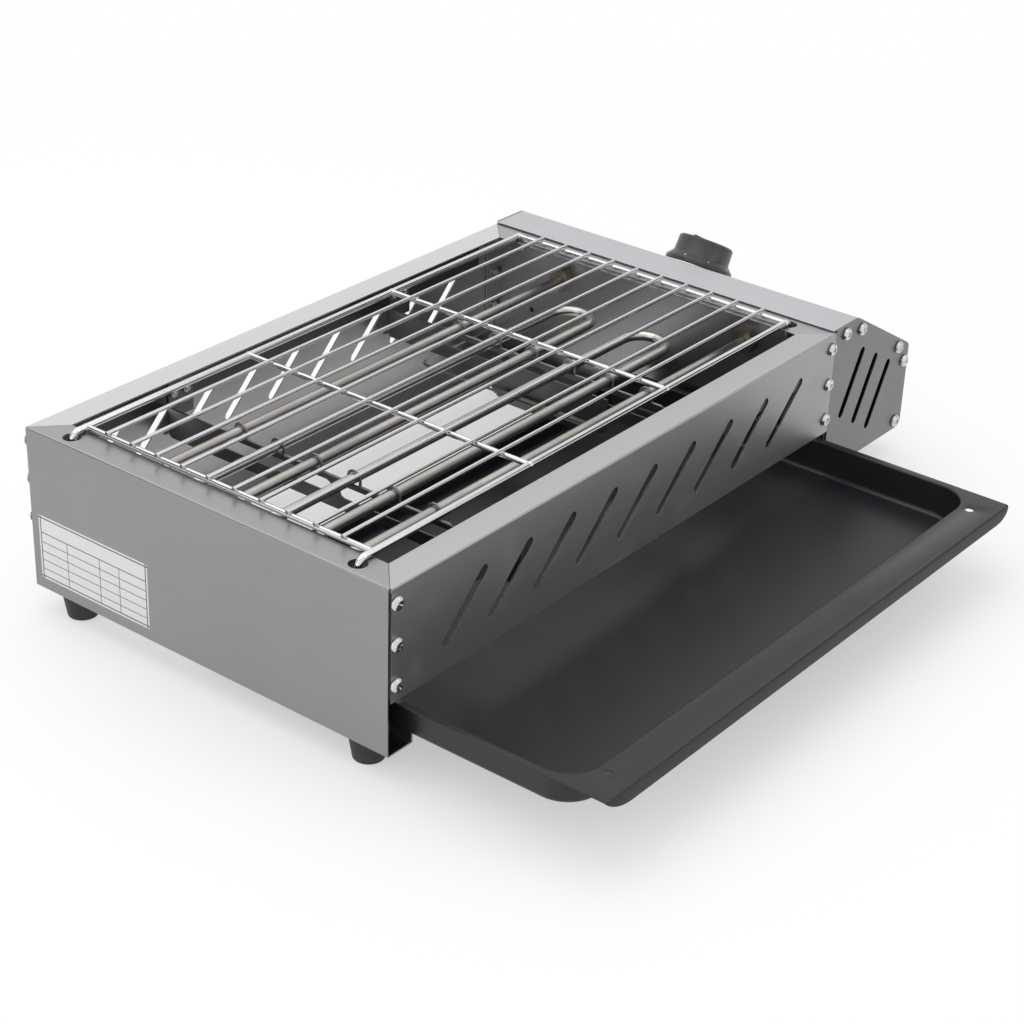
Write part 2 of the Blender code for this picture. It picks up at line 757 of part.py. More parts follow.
def grill_rack(looks, frame):
    """Welded rack: two bent outer wires, cross wires between them and thin rods on top."""
    middle = BODY_WIDTH / 2
    foot = BODY_HEIGHT - SHEET - RACK_LEG
    near, far = RACK_HOLE_INSET, BODY_LENGTH - RACK_HOLE_INSET
    shape = bmesh.new()
    for side in (-1, 1):
        y = middle + side * RACK_HALF_WIDTH
        path = [(near, y, foot), (near, y, WIRE_HEIGHT), (far, y, WIRE_HEIGHT), (far, y, foot)]
        path = rounded(path, [RACK_BEND] * len(path), BEND_POINTS, closed=False)
        sweep(shape, path, [OUTER_WIRE_RADIUS] * len(path), WIRE_SIDES)
    rack = add("grill_rack", shape, looks, frame, smooth=True)

    first, last = CROSS_WIRE_INSET, BODY_LENGTH - CROSS_WIRE_END_INSET
    spacing = (last - first) / (CROSS_WIRE_COUNT - 1)
    shape = bmesh.new()
    for index in range(CROSS_WIRE_COUNT):
        x = first + spacing * index
        ends = [(x, middle + side * RACK_HALF_WIDTH, WIRE_HEIGHT) for side in (-1, 1)]
        sweep(shape, ends, [CROSS_WIRE_RADIUS] * 2, WIRE_SIDES)
    join(rack, shape, "cross_wires")

    level = WIRE_HEIGHT + CROSS_WIRE_RADIUS + ROD_RADIUS - WELD_SINK
    shape = bmesh.new()
    for index in range(ROD_COUNT):
        y = middle + ROD_PITCH * (index - (ROD_COUNT - 1) / 2)
        ends = [(first - ROD_END, y, level), (last + ROD_END, y, level)]
        sweep(shape, ends, [ROD_RADIUS] * 2, WIRE_SIDES)
    join(rack, shape, "rods")
    return rack


def heating_element(looks, frame):
    """One tube looped to and fro in six runs, both ends passing the divider."""
    stub = BODY_LENGTH + ELEMENT_STUB
    near = ELEMENT_NEAR
    far = BODY_LENGTH - ELEMENT_FAR
    path = [(stub, RUN_FIRST, ELEMENT_HEIGHT)]
    for run in range(ELEMENT_RUNS - 1):
        x = near if run % 2 == 0 else far
        for y in (RUN_FIRST + ELEMENT_PITCH * run, RUN_FIRST + ELEMENT_PITCH * (run + 1)):
            path.append((x, y, ELEMENT_HEIGHT))
    path.append((stub, RUN_LAST, ELEMENT_HEIGHT))
    turn = ELEMENT_PITCH / 2 - ELEMENT_TURN_EASE
    path = rounded(path, [turn] * len(path), ELEMENT_TURN_STEPS // 2, closed=False)
    shape = bmesh.new()
    sweep(shape, path, [ELEMENT_RADIUS] * len(path), ELEMENT_SIDES)
    bmesh.ops.remove_doubles(shape, verts=shape.verts, dist=ELEMENT_MERGE)
    return add("heating_element", shape, looks, frame, smooth=True)


def element_ends(looks_fitting, looks_pin, frame):
    """Clamp fittings in the divider and the terminal pins in the tube's ends."""
    bore = ELEMENT_RADIUS + FITTING_BORE_GAP
    near = -SHEET - GAP
    profile = [
        (bore, near - FITTING_NUT_LENGTH),
        (bore, GAP + FITTING_NUT_LENGTH),
        (FITTING_NUT_RADIUS, GAP + FITTING_NUT_LENGTH),
        (FITTING_NUT_RADIUS, GAP),
        (FITTING_COLLAR_RADIUS, GAP),
        (FITTING_COLLAR_RADIUS, near),
        (FITTING_NUT_RADIUS, near),
        (FITTING_NUT_RADIUS, near - FITTING_NUT_LENGTH),
    ]
    for index, y in enumerate((RUN_FIRST, RUN_LAST), 1):
        shape = bmesh.new()
        turned(shape, profile, FITTING_STEPS, ring=True)
        fitting = add(f"element_fitting_{index}", shape, looks_fitting, frame, smooth=True)
        fitting.location = (BODY_LENGTH, y, ELEMENT_HEIGHT)
        fitting.rotation_euler = (0, math.pi / 2, 0)
        shape = bmesh.new()
        pin = [(0, PIN_LENGTH), (PIN_RADIUS, PIN_LENGTH), (PIN_RADIUS, 0), (0, 0)]
        turned(shape, pin, PIN_STEPS)
        pin = add(f"terminal_pin_{index}", shape, looks_pin, frame, smooth=True)
        pin.location = (BODY_LENGTH + ELEMENT_STUB + GAP, y, ELEMENT_HEIGHT)
        pin.rotation_euler = (0, math.pi / 2, 0)


def strip_places():
    return [STRIP_INSET + STRIP_SPACING * index for index in range(STRIP_COUNT)]


def support_strips(looks, frame):
    """Plates on edge from wall to wall under the element, with two long windows and wall tabs."""
    half = SHEET / 2
    low, high = SHEET + GAP, BODY_WIDTH - SHEET - GAP
    length = (BODY_WIDTH - STRIP_POST) / 2 - STRIP_SOLID_END
    outline = rectangle((low, STRIP_FOOT), (high, STRIP_LEG_TOP))
    outline = rounded(outline, (STRIP_CORNER, STRIP_CORNER, 0, 0), BEND_STEPS)
    reach = STRIP_TAB + OVERRUN
    behind = rectangle((low + SHEET, STRIP_FOOT - OVERRUN), (high - SHEET, STRIP_LEG_TOP + OVERRUN))
    below = rectangle((low - OVERRUN, STRIP_FOOT - OVERRUN), (high + OVERRUN, STRIP_TAB_FOOT))
    above = rectangle((low + SHEET, STRIP_TOP), (high - SHEET, STRIP_LEG_TOP + OVERRUN))
    for index, x in enumerate(strip_places(), 1):
        shape = bmesh.new()
        prism(shape, outline, "X", -half, STRIP_TAB - half)
        strip = add(f"support_strip_{index}", shape, looks, frame)
        strip.location = (x, 0, 0)
        shape = bmesh.new()
        prism(shape, behind, "X", half, reach)
        cut(strip, shape, "behind")
        shape = bmesh.new()
        prism(shape, below, "X", half, reach)
        cut(strip, shape, "below")
        shape = bmesh.new()
        prism(shape, above, "X", -half - OVERRUN, half + OVERRUN)
        cut(strip, shape, "above")
        shape = bmesh.new()
        for side in (-1, 1):
            centre = (BODY_WIDTH / 2 + side * (length + STRIP_POST) / 2, STRIP_WINDOW_HEIGHT)
            window = slot(centre, length, STRIP_WINDOW, 0)
            prism(shape, window, "X", -half - OVERRUN, half + OVERRUN)
        cut(strip, shape, "windows")


def element_holders(looks, frame):
    """Straps behind the plates' upper edges, arched over each run of the element."""
    foot = STRIP_WINDOW_HEIGHT + STRIP_WINDOW / 2 + GAP
    notch = ELEMENT_RADIUS + HOLDER_NOTCH_GAP
    half = notch + HOLDER_WALL
    near, far = RUN_FIRST - half - HOLDER_MARGIN, RUN_LAST + half + HOLDER_MARGIN
    runs = [RUN_FIRST + ELEMENT_PITCH * run for run in range(ELEMENT_RUNS)]
    angles = [math.pi * step / HOLDER_STEPS for step in range(HOLDER_STEPS + 1)]
    outline = [(far, foot), (far, STRIP_TOP)]
    for y in reversed(runs):
        outline.append((y + half, STRIP_TOP))
        outline += [(y + half * math.cos(a), ELEMENT_HEIGHT + half * math.sin(a)) for a in angles]
        outline.append((y - half, STRIP_TOP))
    outline += [(near, STRIP_TOP), (near, foot)]
    for y in runs:
        outline.append((y - notch, foot))
        outline += [(y - notch * math.cos(a), ELEMENT_HEIGHT + notch * math.sin(a)) for a in angles]
        outline.append((y + notch, foot))
    back = SHEET / 2 + GAP
    for index, x in enumerate(strip_places(), 1):
        shape = bmesh.new()
        prism(shape, outline, "X", back, back + HOLDER_SHEET)
        holder = add(f"element_holder_{index}", shape, looks, frame)
        holder.location = (x, 0, 0)


def knob(looks, axis):
    """Knob with a flared skirt, a hollow underside, a boss on the shaft and a pointer on top."""
    bore = SHAFT_RADIUS + SHAFT_CLEARANCE
    profile = [
        (0, KNOB_TOP),
        (KNOB_CROWN_RADIUS, KNOB_TOP),
        (KNOB_RADIUS, KNOB_TOP - KNOB_CROWN_DROP),
        (KNOB_RADIUS, KNOB_NECK_HEIGHT),
        (KNOB_SKIRT_RADIUS, KNOB_LIFT + KNOB_SKIRT_EDGE),
        (KNOB_SKIRT_RADIUS, KNOB_LIFT),
        (KNOB_HOLLOW_RADIUS, KNOB_LIFT),
        (KNOB_HOLLOW_RADIUS, KNOB_HOLLOW_HEIGHT),
        (KNOB_BOSS_RADIUS, KNOB_HOLLOW_HEIGHT),
        (KNOB_BOSS_RADIUS, KNOB_LIFT),
        (bore, KNOB_LIFT),
        (bore, SHAFT_TOP + GAP),
        (0, SHAFT_TOP + GAP),
    ]
    shape = bmesh.new()
    turned(shape, profile, KNOB_STEPS)
    made = add("knob", shape, looks, axis, smooth=True)
    shape = bmesh.new()
    near = KNOB_CROWN_RADIUS - POINTER_LENGTH
    ridge = rectangle((-KNOB_CROWN_RADIUS, -POINTER_WIDTH / 2), (-near, POINTER_WIDTH / 2))
    prism(shape, ridge, "Z", KNOB_TOP - POINTER_SINK, KNOB_TOP + POINTER_RISE)
    join(made, shape, "pointer")
    return made


def thermostat(looks_body, looks_shaft, looks_ring, axis, slope_frame):
    """Thermostat under the slope, its shaft, and the dial ring on the slope."""
    bore = SHAFT_RADIUS + SHAFT_CLEARANCE
    top = -SHEET - GAP
    profile = [
        (0, -SHAFT_BOTTOM - GAP),
        (bore, -SHAFT_BOTTOM - GAP),
        (bore, THERMOSTAT_NECK_TOP),
        (THERMOSTAT_NECK_RADIUS, THERMOSTAT_NECK_TOP),
        (THERMOSTAT_NECK_RADIUS, top),
        (THERMOSTAT_RADIUS, top),
        (THERMOSTAT_RADIUS, -THERMOSTAT_DEPTH),
        (0, -THERMOSTAT_DEPTH),
    ]
    shape = bmesh.new()
    turned(shape, profile, THERMOSTAT_STEPS)
    add("thermostat_body", shape, looks_body, slope_frame, smooth=True)
    shape = bmesh.new()
    radius = SHAFT_RADIUS
    profile = [(0, SHAFT_TOP), (radius, SHAFT_TOP), (radius, -SHAFT_BOTTOM), (0, -SHAFT_BOTTOM)]
    turned(shape, profile, SHAFT_STEPS)
    add("thermostat_shaft", shape, looks_shaft, axis, smooth=True)
    shape = bmesh.new()
    profile = [
        (RING_BORE, GAP),
        (RING_BORE, GAP + RING_SHEET),
        (RING_RADIUS - RING_SHEET, GAP + RING_SHEET),
        (RING_RADIUS, GAP),
    ]
    turned(shape, profile, RING_STEPS, ring=True)
    add("dial_ring", shape, looks_ring, slope_frame, smooth=True)


def bulb_and_bracket(looks_bulb, looks_bracket, frame, slope):
    """Sensing bulb in its bracket on the far plate, and its capillary into the control box."""
    plate = strip_places()[-1]
    face = -SHEET / 2 - GAP
    trough = BULB_RADIUS + EAR_FIT
    centre = face - SHEET - trough
    lip = centre - trough - SHEET
    x = plate + centre
    rear = BODY_WIDTH - BULB_REAR
    tip = rear - BULB_LENGTH
    depth = THERMOSTAT_DEPTH * KNUCKLE_SHARE
    out = slope @ Vector((-THERMOSTAT_RADIUS - GAP, 0, -depth))
    beyond = slope @ Vector((-THERMOSTAT_RADIUS - CAPILLARY_BEND, 0, -depth))
    drop_x = BODY_LENGTH + CAPILLARY_BEND * 2
    side = KNOB_ACROSS + THERMOSTAT_RADIUS
    path = [
        (x, tip, BULB_HEIGHT),
        (x, rear, BULB_HEIGHT),
        (x, rear + BULB_NECK, BULB_HEIGHT),
        (x, CAPILLARY_ACROSS, BULB_HEIGHT),
        (drop_x, CAPILLARY_ACROSS, BULB_HEIGHT),
        (drop_x, CAPILLARY_ACROSS, BULB_HEIGHT + CAPILLARY_RISE),
        (drop_x, (CAPILLARY_ACROSS + side) / 2, BULB_HEIGHT + CAPILLARY_RISE),
        (beyond.x, side, beyond.z),
        tuple(beyond),
        tuple(out),
    ]
    bends = [0, 0, 0] + [CAPILLARY_BEND] * 5 + [CAPILLARY_BEND / 2, 0]
    points = rounded(path, bends, BEND_POINTS, closed=False)
    radii = [BULB_RADIUS] * 2 + [CAPILLARY_RADIUS] * (len(points) - 2)
    shape = bmesh.new()
    sweep(shape, points, radii, CAPILLARY_SIDES)
    add("thermostat_bulb", shape, looks_bulb, frame, smooth=True)

    ends = [BODY_WIDTH / 2 + side * BRACKET_LENGTH / 2 for side in (-1, 1)]
    outline = rectangle((ends[0], BRACKET_FOOT), (ends[1], BRACKET_TOP))
    outline = rounded(outline, (BRACKET_CORNER, BRACKET_CORNER, 0, 0), BEND_STEPS)
    shape = bmesh.new()
    prism(shape, outline, "X", lip, face)
    bracket = add("bulb_bracket", shape, looks_bracket, frame)
    bracket.location = (plate, 0, 0)
    shape = bmesh.new()
    floor, ear = BRACKET_FOOT + SHEET, BRACKET_FOOT + EAR_HEIGHT
    outline = [
        (face - SHEET, BRACKET_TOP + OVERRUN),
        (face - SHEET, floor),
        (lip + SHEET, floor),
        (lip + SHEET, ear),
        (lip - OVERRUN, ear),
        (lip - OVERRUN, BRACKET_TOP + OVERRUN),
    ]
    prism(shape, outline, "Y", ends[0] - OVERRUN, ends[1] + OVERRUN)
    cut(bracket, shape, "trough")
    shape = bmesh.new()
    for side, end in zip((-1, 1), ends):
        near, far = sorted((BODY_WIDTH / 2 + side * BRACKET_SHELF / 2, end + side * OVERRUN))
        outline = rectangle((near, BRACKET_FOOT - OVERRUN), (far, ear + OVERRUN))
        prism(shape, outline, "X", lip - OVERRUN, face - SHEET)
    cut(bracket, shape, "shelf_ends")


def wiring(looks_block, looks_lead, looks_gland, frame, slope):
    """Terminal block on the control box floor, the leads to it, and the cord's gland."""
    across = BODY_WIDTH - BLOCK_REAR
    x = BODY_LENGTH + BLOCK_INSET
    top = FLOOR_TOP + GAP + BLOCK_HEIGHT
    step = BLOCK_STEP
    outline = [
        (x, FLOOR_TOP + GAP),
        (x + BLOCK_LENGTH, FLOOR_TOP + GAP),
        (x + BLOCK_LENGTH, top - step),
        (x + BLOCK_LENGTH - step, top - step),
        (x + BLOCK_LENGTH - step, top),
        (x + step, top),
        (x + step, top - step),
        (x, top - step),
    ]
    shape = bmesh.new()
    prism(shape, outline, "Y", across - BLOCK_WIDTH / 2, across + BLOCK_WIDTH / 2)
    add("terminal_block", shape, looks_block, frame)

    pin_tip = BODY_LENGTH + ELEMENT_STUB + GAP + PIN_LENGTH + GAP
    depth = THERMOSTAT_DEPTH * (1 - KNUCKLE_SHARE)
    front = slope @ Vector((0, -THERMOSTAT_RADIUS - GAP, -depth))
    rear = slope @ Vector((0, THERMOSTAT_RADIUS + GAP, -depth))
    middle = x + BLOCK_LENGTH / 2
    seat = top + GAP
    routes = [
        [
            (pin_tip, RUN_FIRST, ELEMENT_HEIGHT),
            (front.x, RUN_FIRST, front.z),
            tuple(front),
        ],
        [
            (pin_tip, RUN_LAST, ELEMENT_HEIGHT),
            (pin_tip + LEAD_OUT, RUN_LAST, ELEMENT_HEIGHT),
            (pin_tip + LEAD_OUT, RUN_LAST, seat + LEAD_RISE),
            (middle - LEAD_OUT / 2, RUN_LAST, seat + LEAD_RISE),
            (middle - LEAD_OUT / 2, RUN_LAST, seat),
        ],
        [
            tuple(rear),
            (rear.x, across - LEAD_OUT * 2, rear.z),
            (middle + LEAD_OUT / 2, across - LEAD_OUT * 2, seat + LEAD_RISE),
            (middle + LEAD_OUT / 2, across - LEAD_OUT * 2, seat),
        ],
    ]
    for index, route in enumerate(routes, 1):
        path = rounded(route, [LEAD_BEND] * len(route), BEND_POINTS, closed=False)
        shape = bmesh.new()
        sweep(shape, path, [LEAD_RADIUS] * len(path), LEAD_SIDES)
        add(f"lead_{index}", shape, looks_lead, frame, smooth=True)

    inner = -SHEET - GAP
    profile = [
        (GLAND_BORE, inner - GLAND_COLLAR_LENGTH),
        (GLAND_BORE, GLAND_OUT),
        (GLAND_BARREL_RADIUS, GLAND_OUT),
        (GLAND_BARREL_RADIUS, GAP + GLAND_COLLAR_LENGTH),
        (GLAND_COLLAR_RADIUS, GAP + GLAND_COLLAR_LENGTH),
        (GLAND_COLLAR_RADIUS, GAP),
        (GLAND_NECK_RADIUS, GAP),
        (GLAND_NECK_RADIUS, inner),
        (GLAND_NUT_RADIUS, inner),
        (GLAND_NUT_RADIUS, inner - GLAND_COLLAR_LENGTH),
    ]
    shape = bmesh.new()
    turned(shape, profile, GLAND_STEPS, ring=True)
    gland = add("cable_gland", shape, looks_gland, frame, smooth=True)
    gland.location = (CONTROL_END - GLAND_INSET, BODY_WIDTH, GLAND_HEIGHT)
    gland.rotation_euler = (-math.pi / 2, 0, 0)


def feet(looks_foot, looks_bolt, frame):
    """Tapered rubber feet, each with a bolt from its recess up through the rail."""
    bore = BOLT_RADIUS + GAP
    base = -FOOT_HEIGHT
    ceiling = base + FOOT_RECESS_DEPTH
    profile = [
        (bore, -GAP),
        (FOOT_TOP_RADIUS, -GAP),
        (FOOT_TOP_RADIUS, -GAP - FOOT_EDGE),
        (FOOT_BASE_RADIUS + FOOT_EDGE / 2, base + FOOT_EDGE),
        (FOOT_BASE_RADIUS - FOOT_EDGE / 2, base),
        (FOOT_RECESS_RADIUS, base),
        (FOOT_RECESS_RADIUS, ceiling),
        (bore, ceiling),
    ]
    under = ceiling - GAP
    bolt = [
        (0, SHEET + GAP + BOLT_NUT_HEIGHT),
        (BOLT_NUT_RADIUS, SHEET + GAP + BOLT_NUT_HEIGHT),
        (BOLT_NUT_RADIUS, SHEET + GAP),
        (BOLT_RADIUS, SHEET + GAP),
        (BOLT_RADIUS, under),
        (BOLT_HEAD_RADIUS, under),
        (BOLT_HEAD_RADIUS, under - BOLT_HEAD_HEIGHT),
        (0, under - BOLT_HEAD_HEIGHT),
    ]
    shape = bmesh.new()
    turned(shape, profile, FOOT_STEPS, ring=True)
    foot_mesh = None
    bolt_mesh = None
    places = [
        (x, y)
        for x in (FOOT_END_INSET, BODY_LENGTH - FOOT_END_INSET)
        for y in (FOOT_SIDE_INSET, BODY_WIDTH - FOOT_SIDE_INSET)
    ]
    for index, (x, y) in enumerate(places, 1):
        if foot_mesh is None:
            foot = add(f"foot_{index}", shape, looks_foot, frame, smooth=True)
            shape = bmesh.new()
            turned(shape, bolt, BOLT_STEPS)
            screw = add(f"foot_bolt_{index}", shape, looks_bolt, frame, smooth=True)
            foot_mesh, bolt_mesh = foot.data, screw.data
        else:
            foot = bpy.data.objects.new(f"foot_{index}", foot_mesh)
            screw = bpy.data.objects.new(f"foot_bolt_{index}", bolt_mesh)
            for made in (foot, screw):
                bpy.context.scene.collection.objects.link(made)
                made.parent = frame
        foot.location = screw.location = (x, y, 0)


def pan_rings(low, high, levels, radius):
    """Rings of a dished pan: one rounded rectangle for each (height, inset) level."""
    rings = []
    for height, step in levels:
        corners = rectangle((low[0] + step, low[1] + step), (high[0] - step, high[1] - step))
        outline = rounded(corners, [radius - step / 2] * len(corners), TRAY_CORNER_STEPS)
        rings.append([(x, y, height) for x, y in outline])
    return rings


def pan_levels(bottom, top, lean, radius):
    """Heights and insets of a pan's wall, from its flat bottom up round the lower bend."""
    steps = [math.pi / 2 * index / BEND_STEPS for index in range(BEND_STEPS + 1)]
    bend = [(bottom + radius * (1 - math.cos(a)), lean + radius * (1 - math.sin(a))) for a in steps]
    return bend + [(top, 0)]


def drip_tray(looks, slide):
    """Pressed pan with a rim all round and a wide front ledge that curves down as a grip."""
    sheet = TRAY_SHEET
    top = TRAY_RIM_HEIGHT
    bottom = RAIL_LIP + GAP
    left, right = TRAY_RIM_INSET, BODY_LENGTH - TRAY_RIM_INSET
    rear = TRAY_DEPTH
    front = 0
    nose = front - TRAY_LEDGE
    bend = TRAY_LIP_RADIUS
    outline = [(rear, top - sheet), (rear, top)]
    for radius in (bend, bend - sheet):
        arc = []
        for step in range(TRAY_LIP_STEPS + 1):
            angle = math.pi / 2 * step / TRAY_LIP_STEPS
            arc.append((nose + bend - radius * math.sin(angle), top - bend + radius * math.cos(angle)))
        outline += arc if radius == bend else list(reversed(arc))
    shape = bmesh.new()
    prism(shape, outline, "X", left, right)
    tray = add("drip_tray", shape, looks, slide)

    rim = TRAY_RIM_WIDTH
    low, high = (left + rim, nose + TRAY_LEDGE_FLAT), (right - rim, rear - rim)
    shape = bmesh.new()
    outside = pan_levels(bottom, top - sheet / 2, TRAY_WALL_LEAN, TRAY_BOTTOM_RADIUS)
    loft(shape, pan_rings(low, high, outside, TRAY_CORNER_RADIUS))
    join(tray, shape, "pan")

    low, high = (low[0] + sheet, low[1] + sheet), (high[0] - sheet, high[1] - sheet)
    shape = bmesh.new()
    inside = pan_levels(bottom + sheet, top + sheet, TRAY_WALL_LEAN, TRAY_BOTTOM_RADIUS - sheet)
    loft(shape, pan_rings(low, high, inside, TRAY_CORNER_RADIUS - sheet))
    cut(tray, shape, "hollow")

    shape = bmesh.new()
    for x in (left + TRAY_HOLE_END, right - TRAY_HOLE_END):
        hole = circle((x, nose + TRAY_HOLE_FRONT), TRAY_HOLE_RADIUS, TRAY_HOLE_STEPS)
        prism(shape, hole, "Z", top - sheet - OVERRUN, top + OVERRUN)
    radius = TRAY_CORNER_RADIUS + rim / 2
    for x, inward in ((left, 1), (right, -1)):
        centre = (x + inward * radius, rear - radius)
        corner = [(x - inward * OVERRUN, rear + OVERRUN), (x - inward * OVERRUN, centre[1])]
        for step in range(TRAY_CORNER_STEPS + 1):
            angle = math.pi / 2 * step / TRAY_CORNER_STEPS
            across, along = radius * math.cos(angle), radius * math.sin(angle)
            corner.append((centre[0] - inward * across, centre[1] + along))
        corner.append((centre[0], rear + OVERRUN))
        prism(shape, corner, "Z", top - sheet - OVERRUN, top + OVERRUN)
        under, deep = top - sheet, top - bend - OVERRUN
        centre = x + inward * TRAY_LIP_END
        corner = [(x - inward * OVERRUN, under)]
        for step in range(TRAY_CORNER_STEPS + 1):
            angle = math.pi / 2 * step / TRAY_CORNER_STEPS
            across, drop = TRAY_LIP_END * math.cos(angle), (bend - sheet) * math.sin(angle)
            corner.append((centre - inward * across, under - drop))
        corner += [(centre, deep), (x - inward * OVERRUN, deep)]
        prism(shape, corner, "Y", nose - OVERRUN, nose + bend / 2)
    cut(tray, shape, "trims")
    return tray


def empty(name, parent, location, turn=0):
    made = bpy.data.objects.new(name, None)
    bpy.context.scene.collection.objects.link(made)
    made.parent = parent
    made.location = location
    made.rotation_euler = (0, turn, 0)
    return made


def main():
    for old in list(bpy.data.objects):
        bpy.data.objects.remove(old)

    steel = finish("end_steel", (0.44, 0.43, 0.42), 0.36, 1.0)
    side_steel = finish("side_steel", (0.36, 0.36, 0.365), 0.34, 1.0)
    cover_steel = finish("cover_steel", (0.58, 0.58, 0.60), 0.33, 1.0)
    plate_steel = finish("plate_steel", (0.40, 0.40, 0.41), 0.35, 1.0)
    inner_steel = finish("inner_steel", (0.30, 0.30, 0.31), 0.42, 1.0)
    chrome = finish("rack_chrome", (0.78, 0.78, 0.79), 0.12, 1.0)
    sheath = finish("sheath_steel", (0.34, 0.32, 0.28), 0.38, 1.0)
    zinc = finish("zinc", (0.62, 0.62, 0.62), 0.28, 1.0)
    brass = finish("brass", (0.60, 0.48, 0.25), 0.35, 1.0)
    coating = finish("tray_coating", (0.045, 0.045, 0.048), 0.48, 0.0)
    knob_black = finish("knob_black", (0.040, 0.040, 0.043), 0.35, 0.0)
    rubber = finish("foot_rubber", (0.018, 0.018, 0.019), 0.70, 0.0)
    ceramic = finish("ceramic", (0.75, 0.72, 0.66), 0.60, 0.0)
    sleeve = finish("lead_sleeve", (0.70, 0.68, 0.62), 0.65, 0.0)
    copper = finish("bulb_copper", (0.62, 0.36, 0.24), 0.30, 1.0)

    middle_y = (BODY_WIDTH + GLAND_OUT - TRAY_REACH) / 2
    body = empty("body_frame", None, (-CONTROL_END / 2, -middle_y, FOOT_HEIGHT))
    brow = Vector((BODY_LENGTH + CONTROL_TOP, KNOB_ACROSS, COVER_TOP))
    down = Vector((math.cos(SHEET_TO_SLOPE), 0, -math.sin(SHEET_TO_SLOPE)))
    centre = brow + down * KNOB_DOWN_SLOPE
    slope = Matrix.Translation(centre) @ Matrix.Rotation(SHEET_TO_SLOPE, 4, "Y")
    slope_frame = empty("slope_frame", body, centre, SHEET_TO_SLOPE)
    knob_axis = empty("knob_axis", body, centre, SHEET_TO_SLOPE)
    slide = empty("tray_slide", body, (0, -TRAY_PULLED, 0))

    left_end_panel(steel, body)
    divider_panel(inner_steel, body)
    long_panel("front_panel", side_steel, body, rear=False)
    long_panel("rear_panel", side_steel, body, rear=True)
    control_cover(cover_steel, body, slope)
    side_plate("control_side_front", plate_steel, body, 0, SHEET, gland=False)
    side_plate("control_side_rear", plate_steel, body, BODY_WIDTH - SHEET, BODY_WIDTH, gland=True)
    control_base(inner_steel, body)
    panel_screws(zinc, body)
    grill_rack(chrome, body)
    heating_element(sheath, body)
    element_ends(brass, zinc, body)
    support_strips(inner_steel, body)
    element_holders(inner_steel, body)
    knob(knob_black, knob_axis)
    thermostat(ceramic, zinc, zinc, knob_axis, slope_frame)
    bulb_and_bracket(copper, inner_steel, body, slope)
    wiring(ceramic, sleeve, knob_black, body, slope)
    feet(rubber, zinc, body)
    drip_tray(coating, slide)


main()
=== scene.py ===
"""Dresses the table-top electric grill with its finished surfaces and its fine detail.

Sizes are in metres. A place given as (x, y, z) of the body counts from the lower front corner
of its folded sheet, x towards the control box, y towards the rear and z up.
"""

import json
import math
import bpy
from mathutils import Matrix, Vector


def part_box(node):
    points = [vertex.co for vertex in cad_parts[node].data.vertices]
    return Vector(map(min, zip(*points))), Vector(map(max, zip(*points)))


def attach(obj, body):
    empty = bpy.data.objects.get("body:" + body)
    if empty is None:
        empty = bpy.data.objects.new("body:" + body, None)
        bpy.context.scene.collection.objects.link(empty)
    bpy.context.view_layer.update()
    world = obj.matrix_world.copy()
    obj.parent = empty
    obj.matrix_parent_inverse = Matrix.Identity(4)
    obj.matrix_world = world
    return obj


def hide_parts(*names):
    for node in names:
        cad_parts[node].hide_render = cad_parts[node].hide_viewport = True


bl_info = {
    "name": "Table-top electric grill",
    "version": (1, 0, 0),
    "blender": (4, 5, 0),
    "location": "View3D > Sidebar > Grill",
    "description": "Finished surfaces and detail for a table-top electric grill",
    "category": "Object",
}

import bmesh
import bpy
from bpy.props import FloatProperty, FloatVectorProperty, IntProperty, PointerProperty
from mathutils import Matrix, Vector

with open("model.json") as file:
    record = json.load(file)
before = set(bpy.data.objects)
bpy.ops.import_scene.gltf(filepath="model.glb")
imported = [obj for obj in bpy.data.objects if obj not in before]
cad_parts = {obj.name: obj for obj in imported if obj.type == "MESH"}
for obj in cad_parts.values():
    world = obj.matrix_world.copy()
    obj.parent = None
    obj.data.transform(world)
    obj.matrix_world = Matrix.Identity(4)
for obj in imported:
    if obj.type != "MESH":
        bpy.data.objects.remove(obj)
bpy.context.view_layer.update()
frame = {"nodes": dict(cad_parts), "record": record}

END_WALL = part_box("left_end_panel")
CORNER = Vector((END_WALL[0].x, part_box("front_panel")[0].y, END_WALL[0].z))
BODY_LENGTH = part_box("divider_panel")[1].x - CORNER.x
BODY_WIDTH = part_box("rear_panel")[1].y - CORNER.y
CAMERA_PLACE = (-0.7868419, -0.6817733, 0.7162183)
CAMERA_RIGHT = (0.6225504, -0.7819527, 0.0313207)
CAMERA_AHEAD = (0.6970188, 0.5358452, -0.4764815)
RAYS = ("Camera", "Glossy", "Transmission")
QUARTER = math.pi / 2
MERGE = 1e-6


def spot(x, y, z):
    """A place of the body in the row frame."""
    return CORNER + Vector((x, y, z))


class Nodes:
    """A node tree under construction."""

    def __init__(self, tree):
        self.tree = tree

    def give(self, socket, value):
        """Links a term, a socket or a node's first output to a socket, or sets a plain value."""
        if isinstance(value, Term):
            value = value.socket
        elif isinstance(value, bpy.types.Node):
            value = value.outputs[0]
        if isinstance(value, bpy.types.NodeSocket):
            self.tree.links.new(value, socket)
        else:
            socket.default_value = value

    def node(self, kind, sockets=None, **settings):
        """A node of one type, with its settings first and then its sockets' values or links."""
        made = self.tree.nodes.new(kind)
        for key, value in settings.items():
            setattr(made, key, value)
        for key, value in (sockets or {}).items():
            self.give(made.inputs[key], value)
        return made

    def seen(self):
        """One for rays of the camera and for those from metal or glass, and zero for the others."""
        rays = self.node("ShaderNodeLightPath").outputs
        camera, glossy, through = [Term(self, rays[f"Is {kind} Ray"]) for kind in RAYS]
        return (camera + glossy + through).capped()


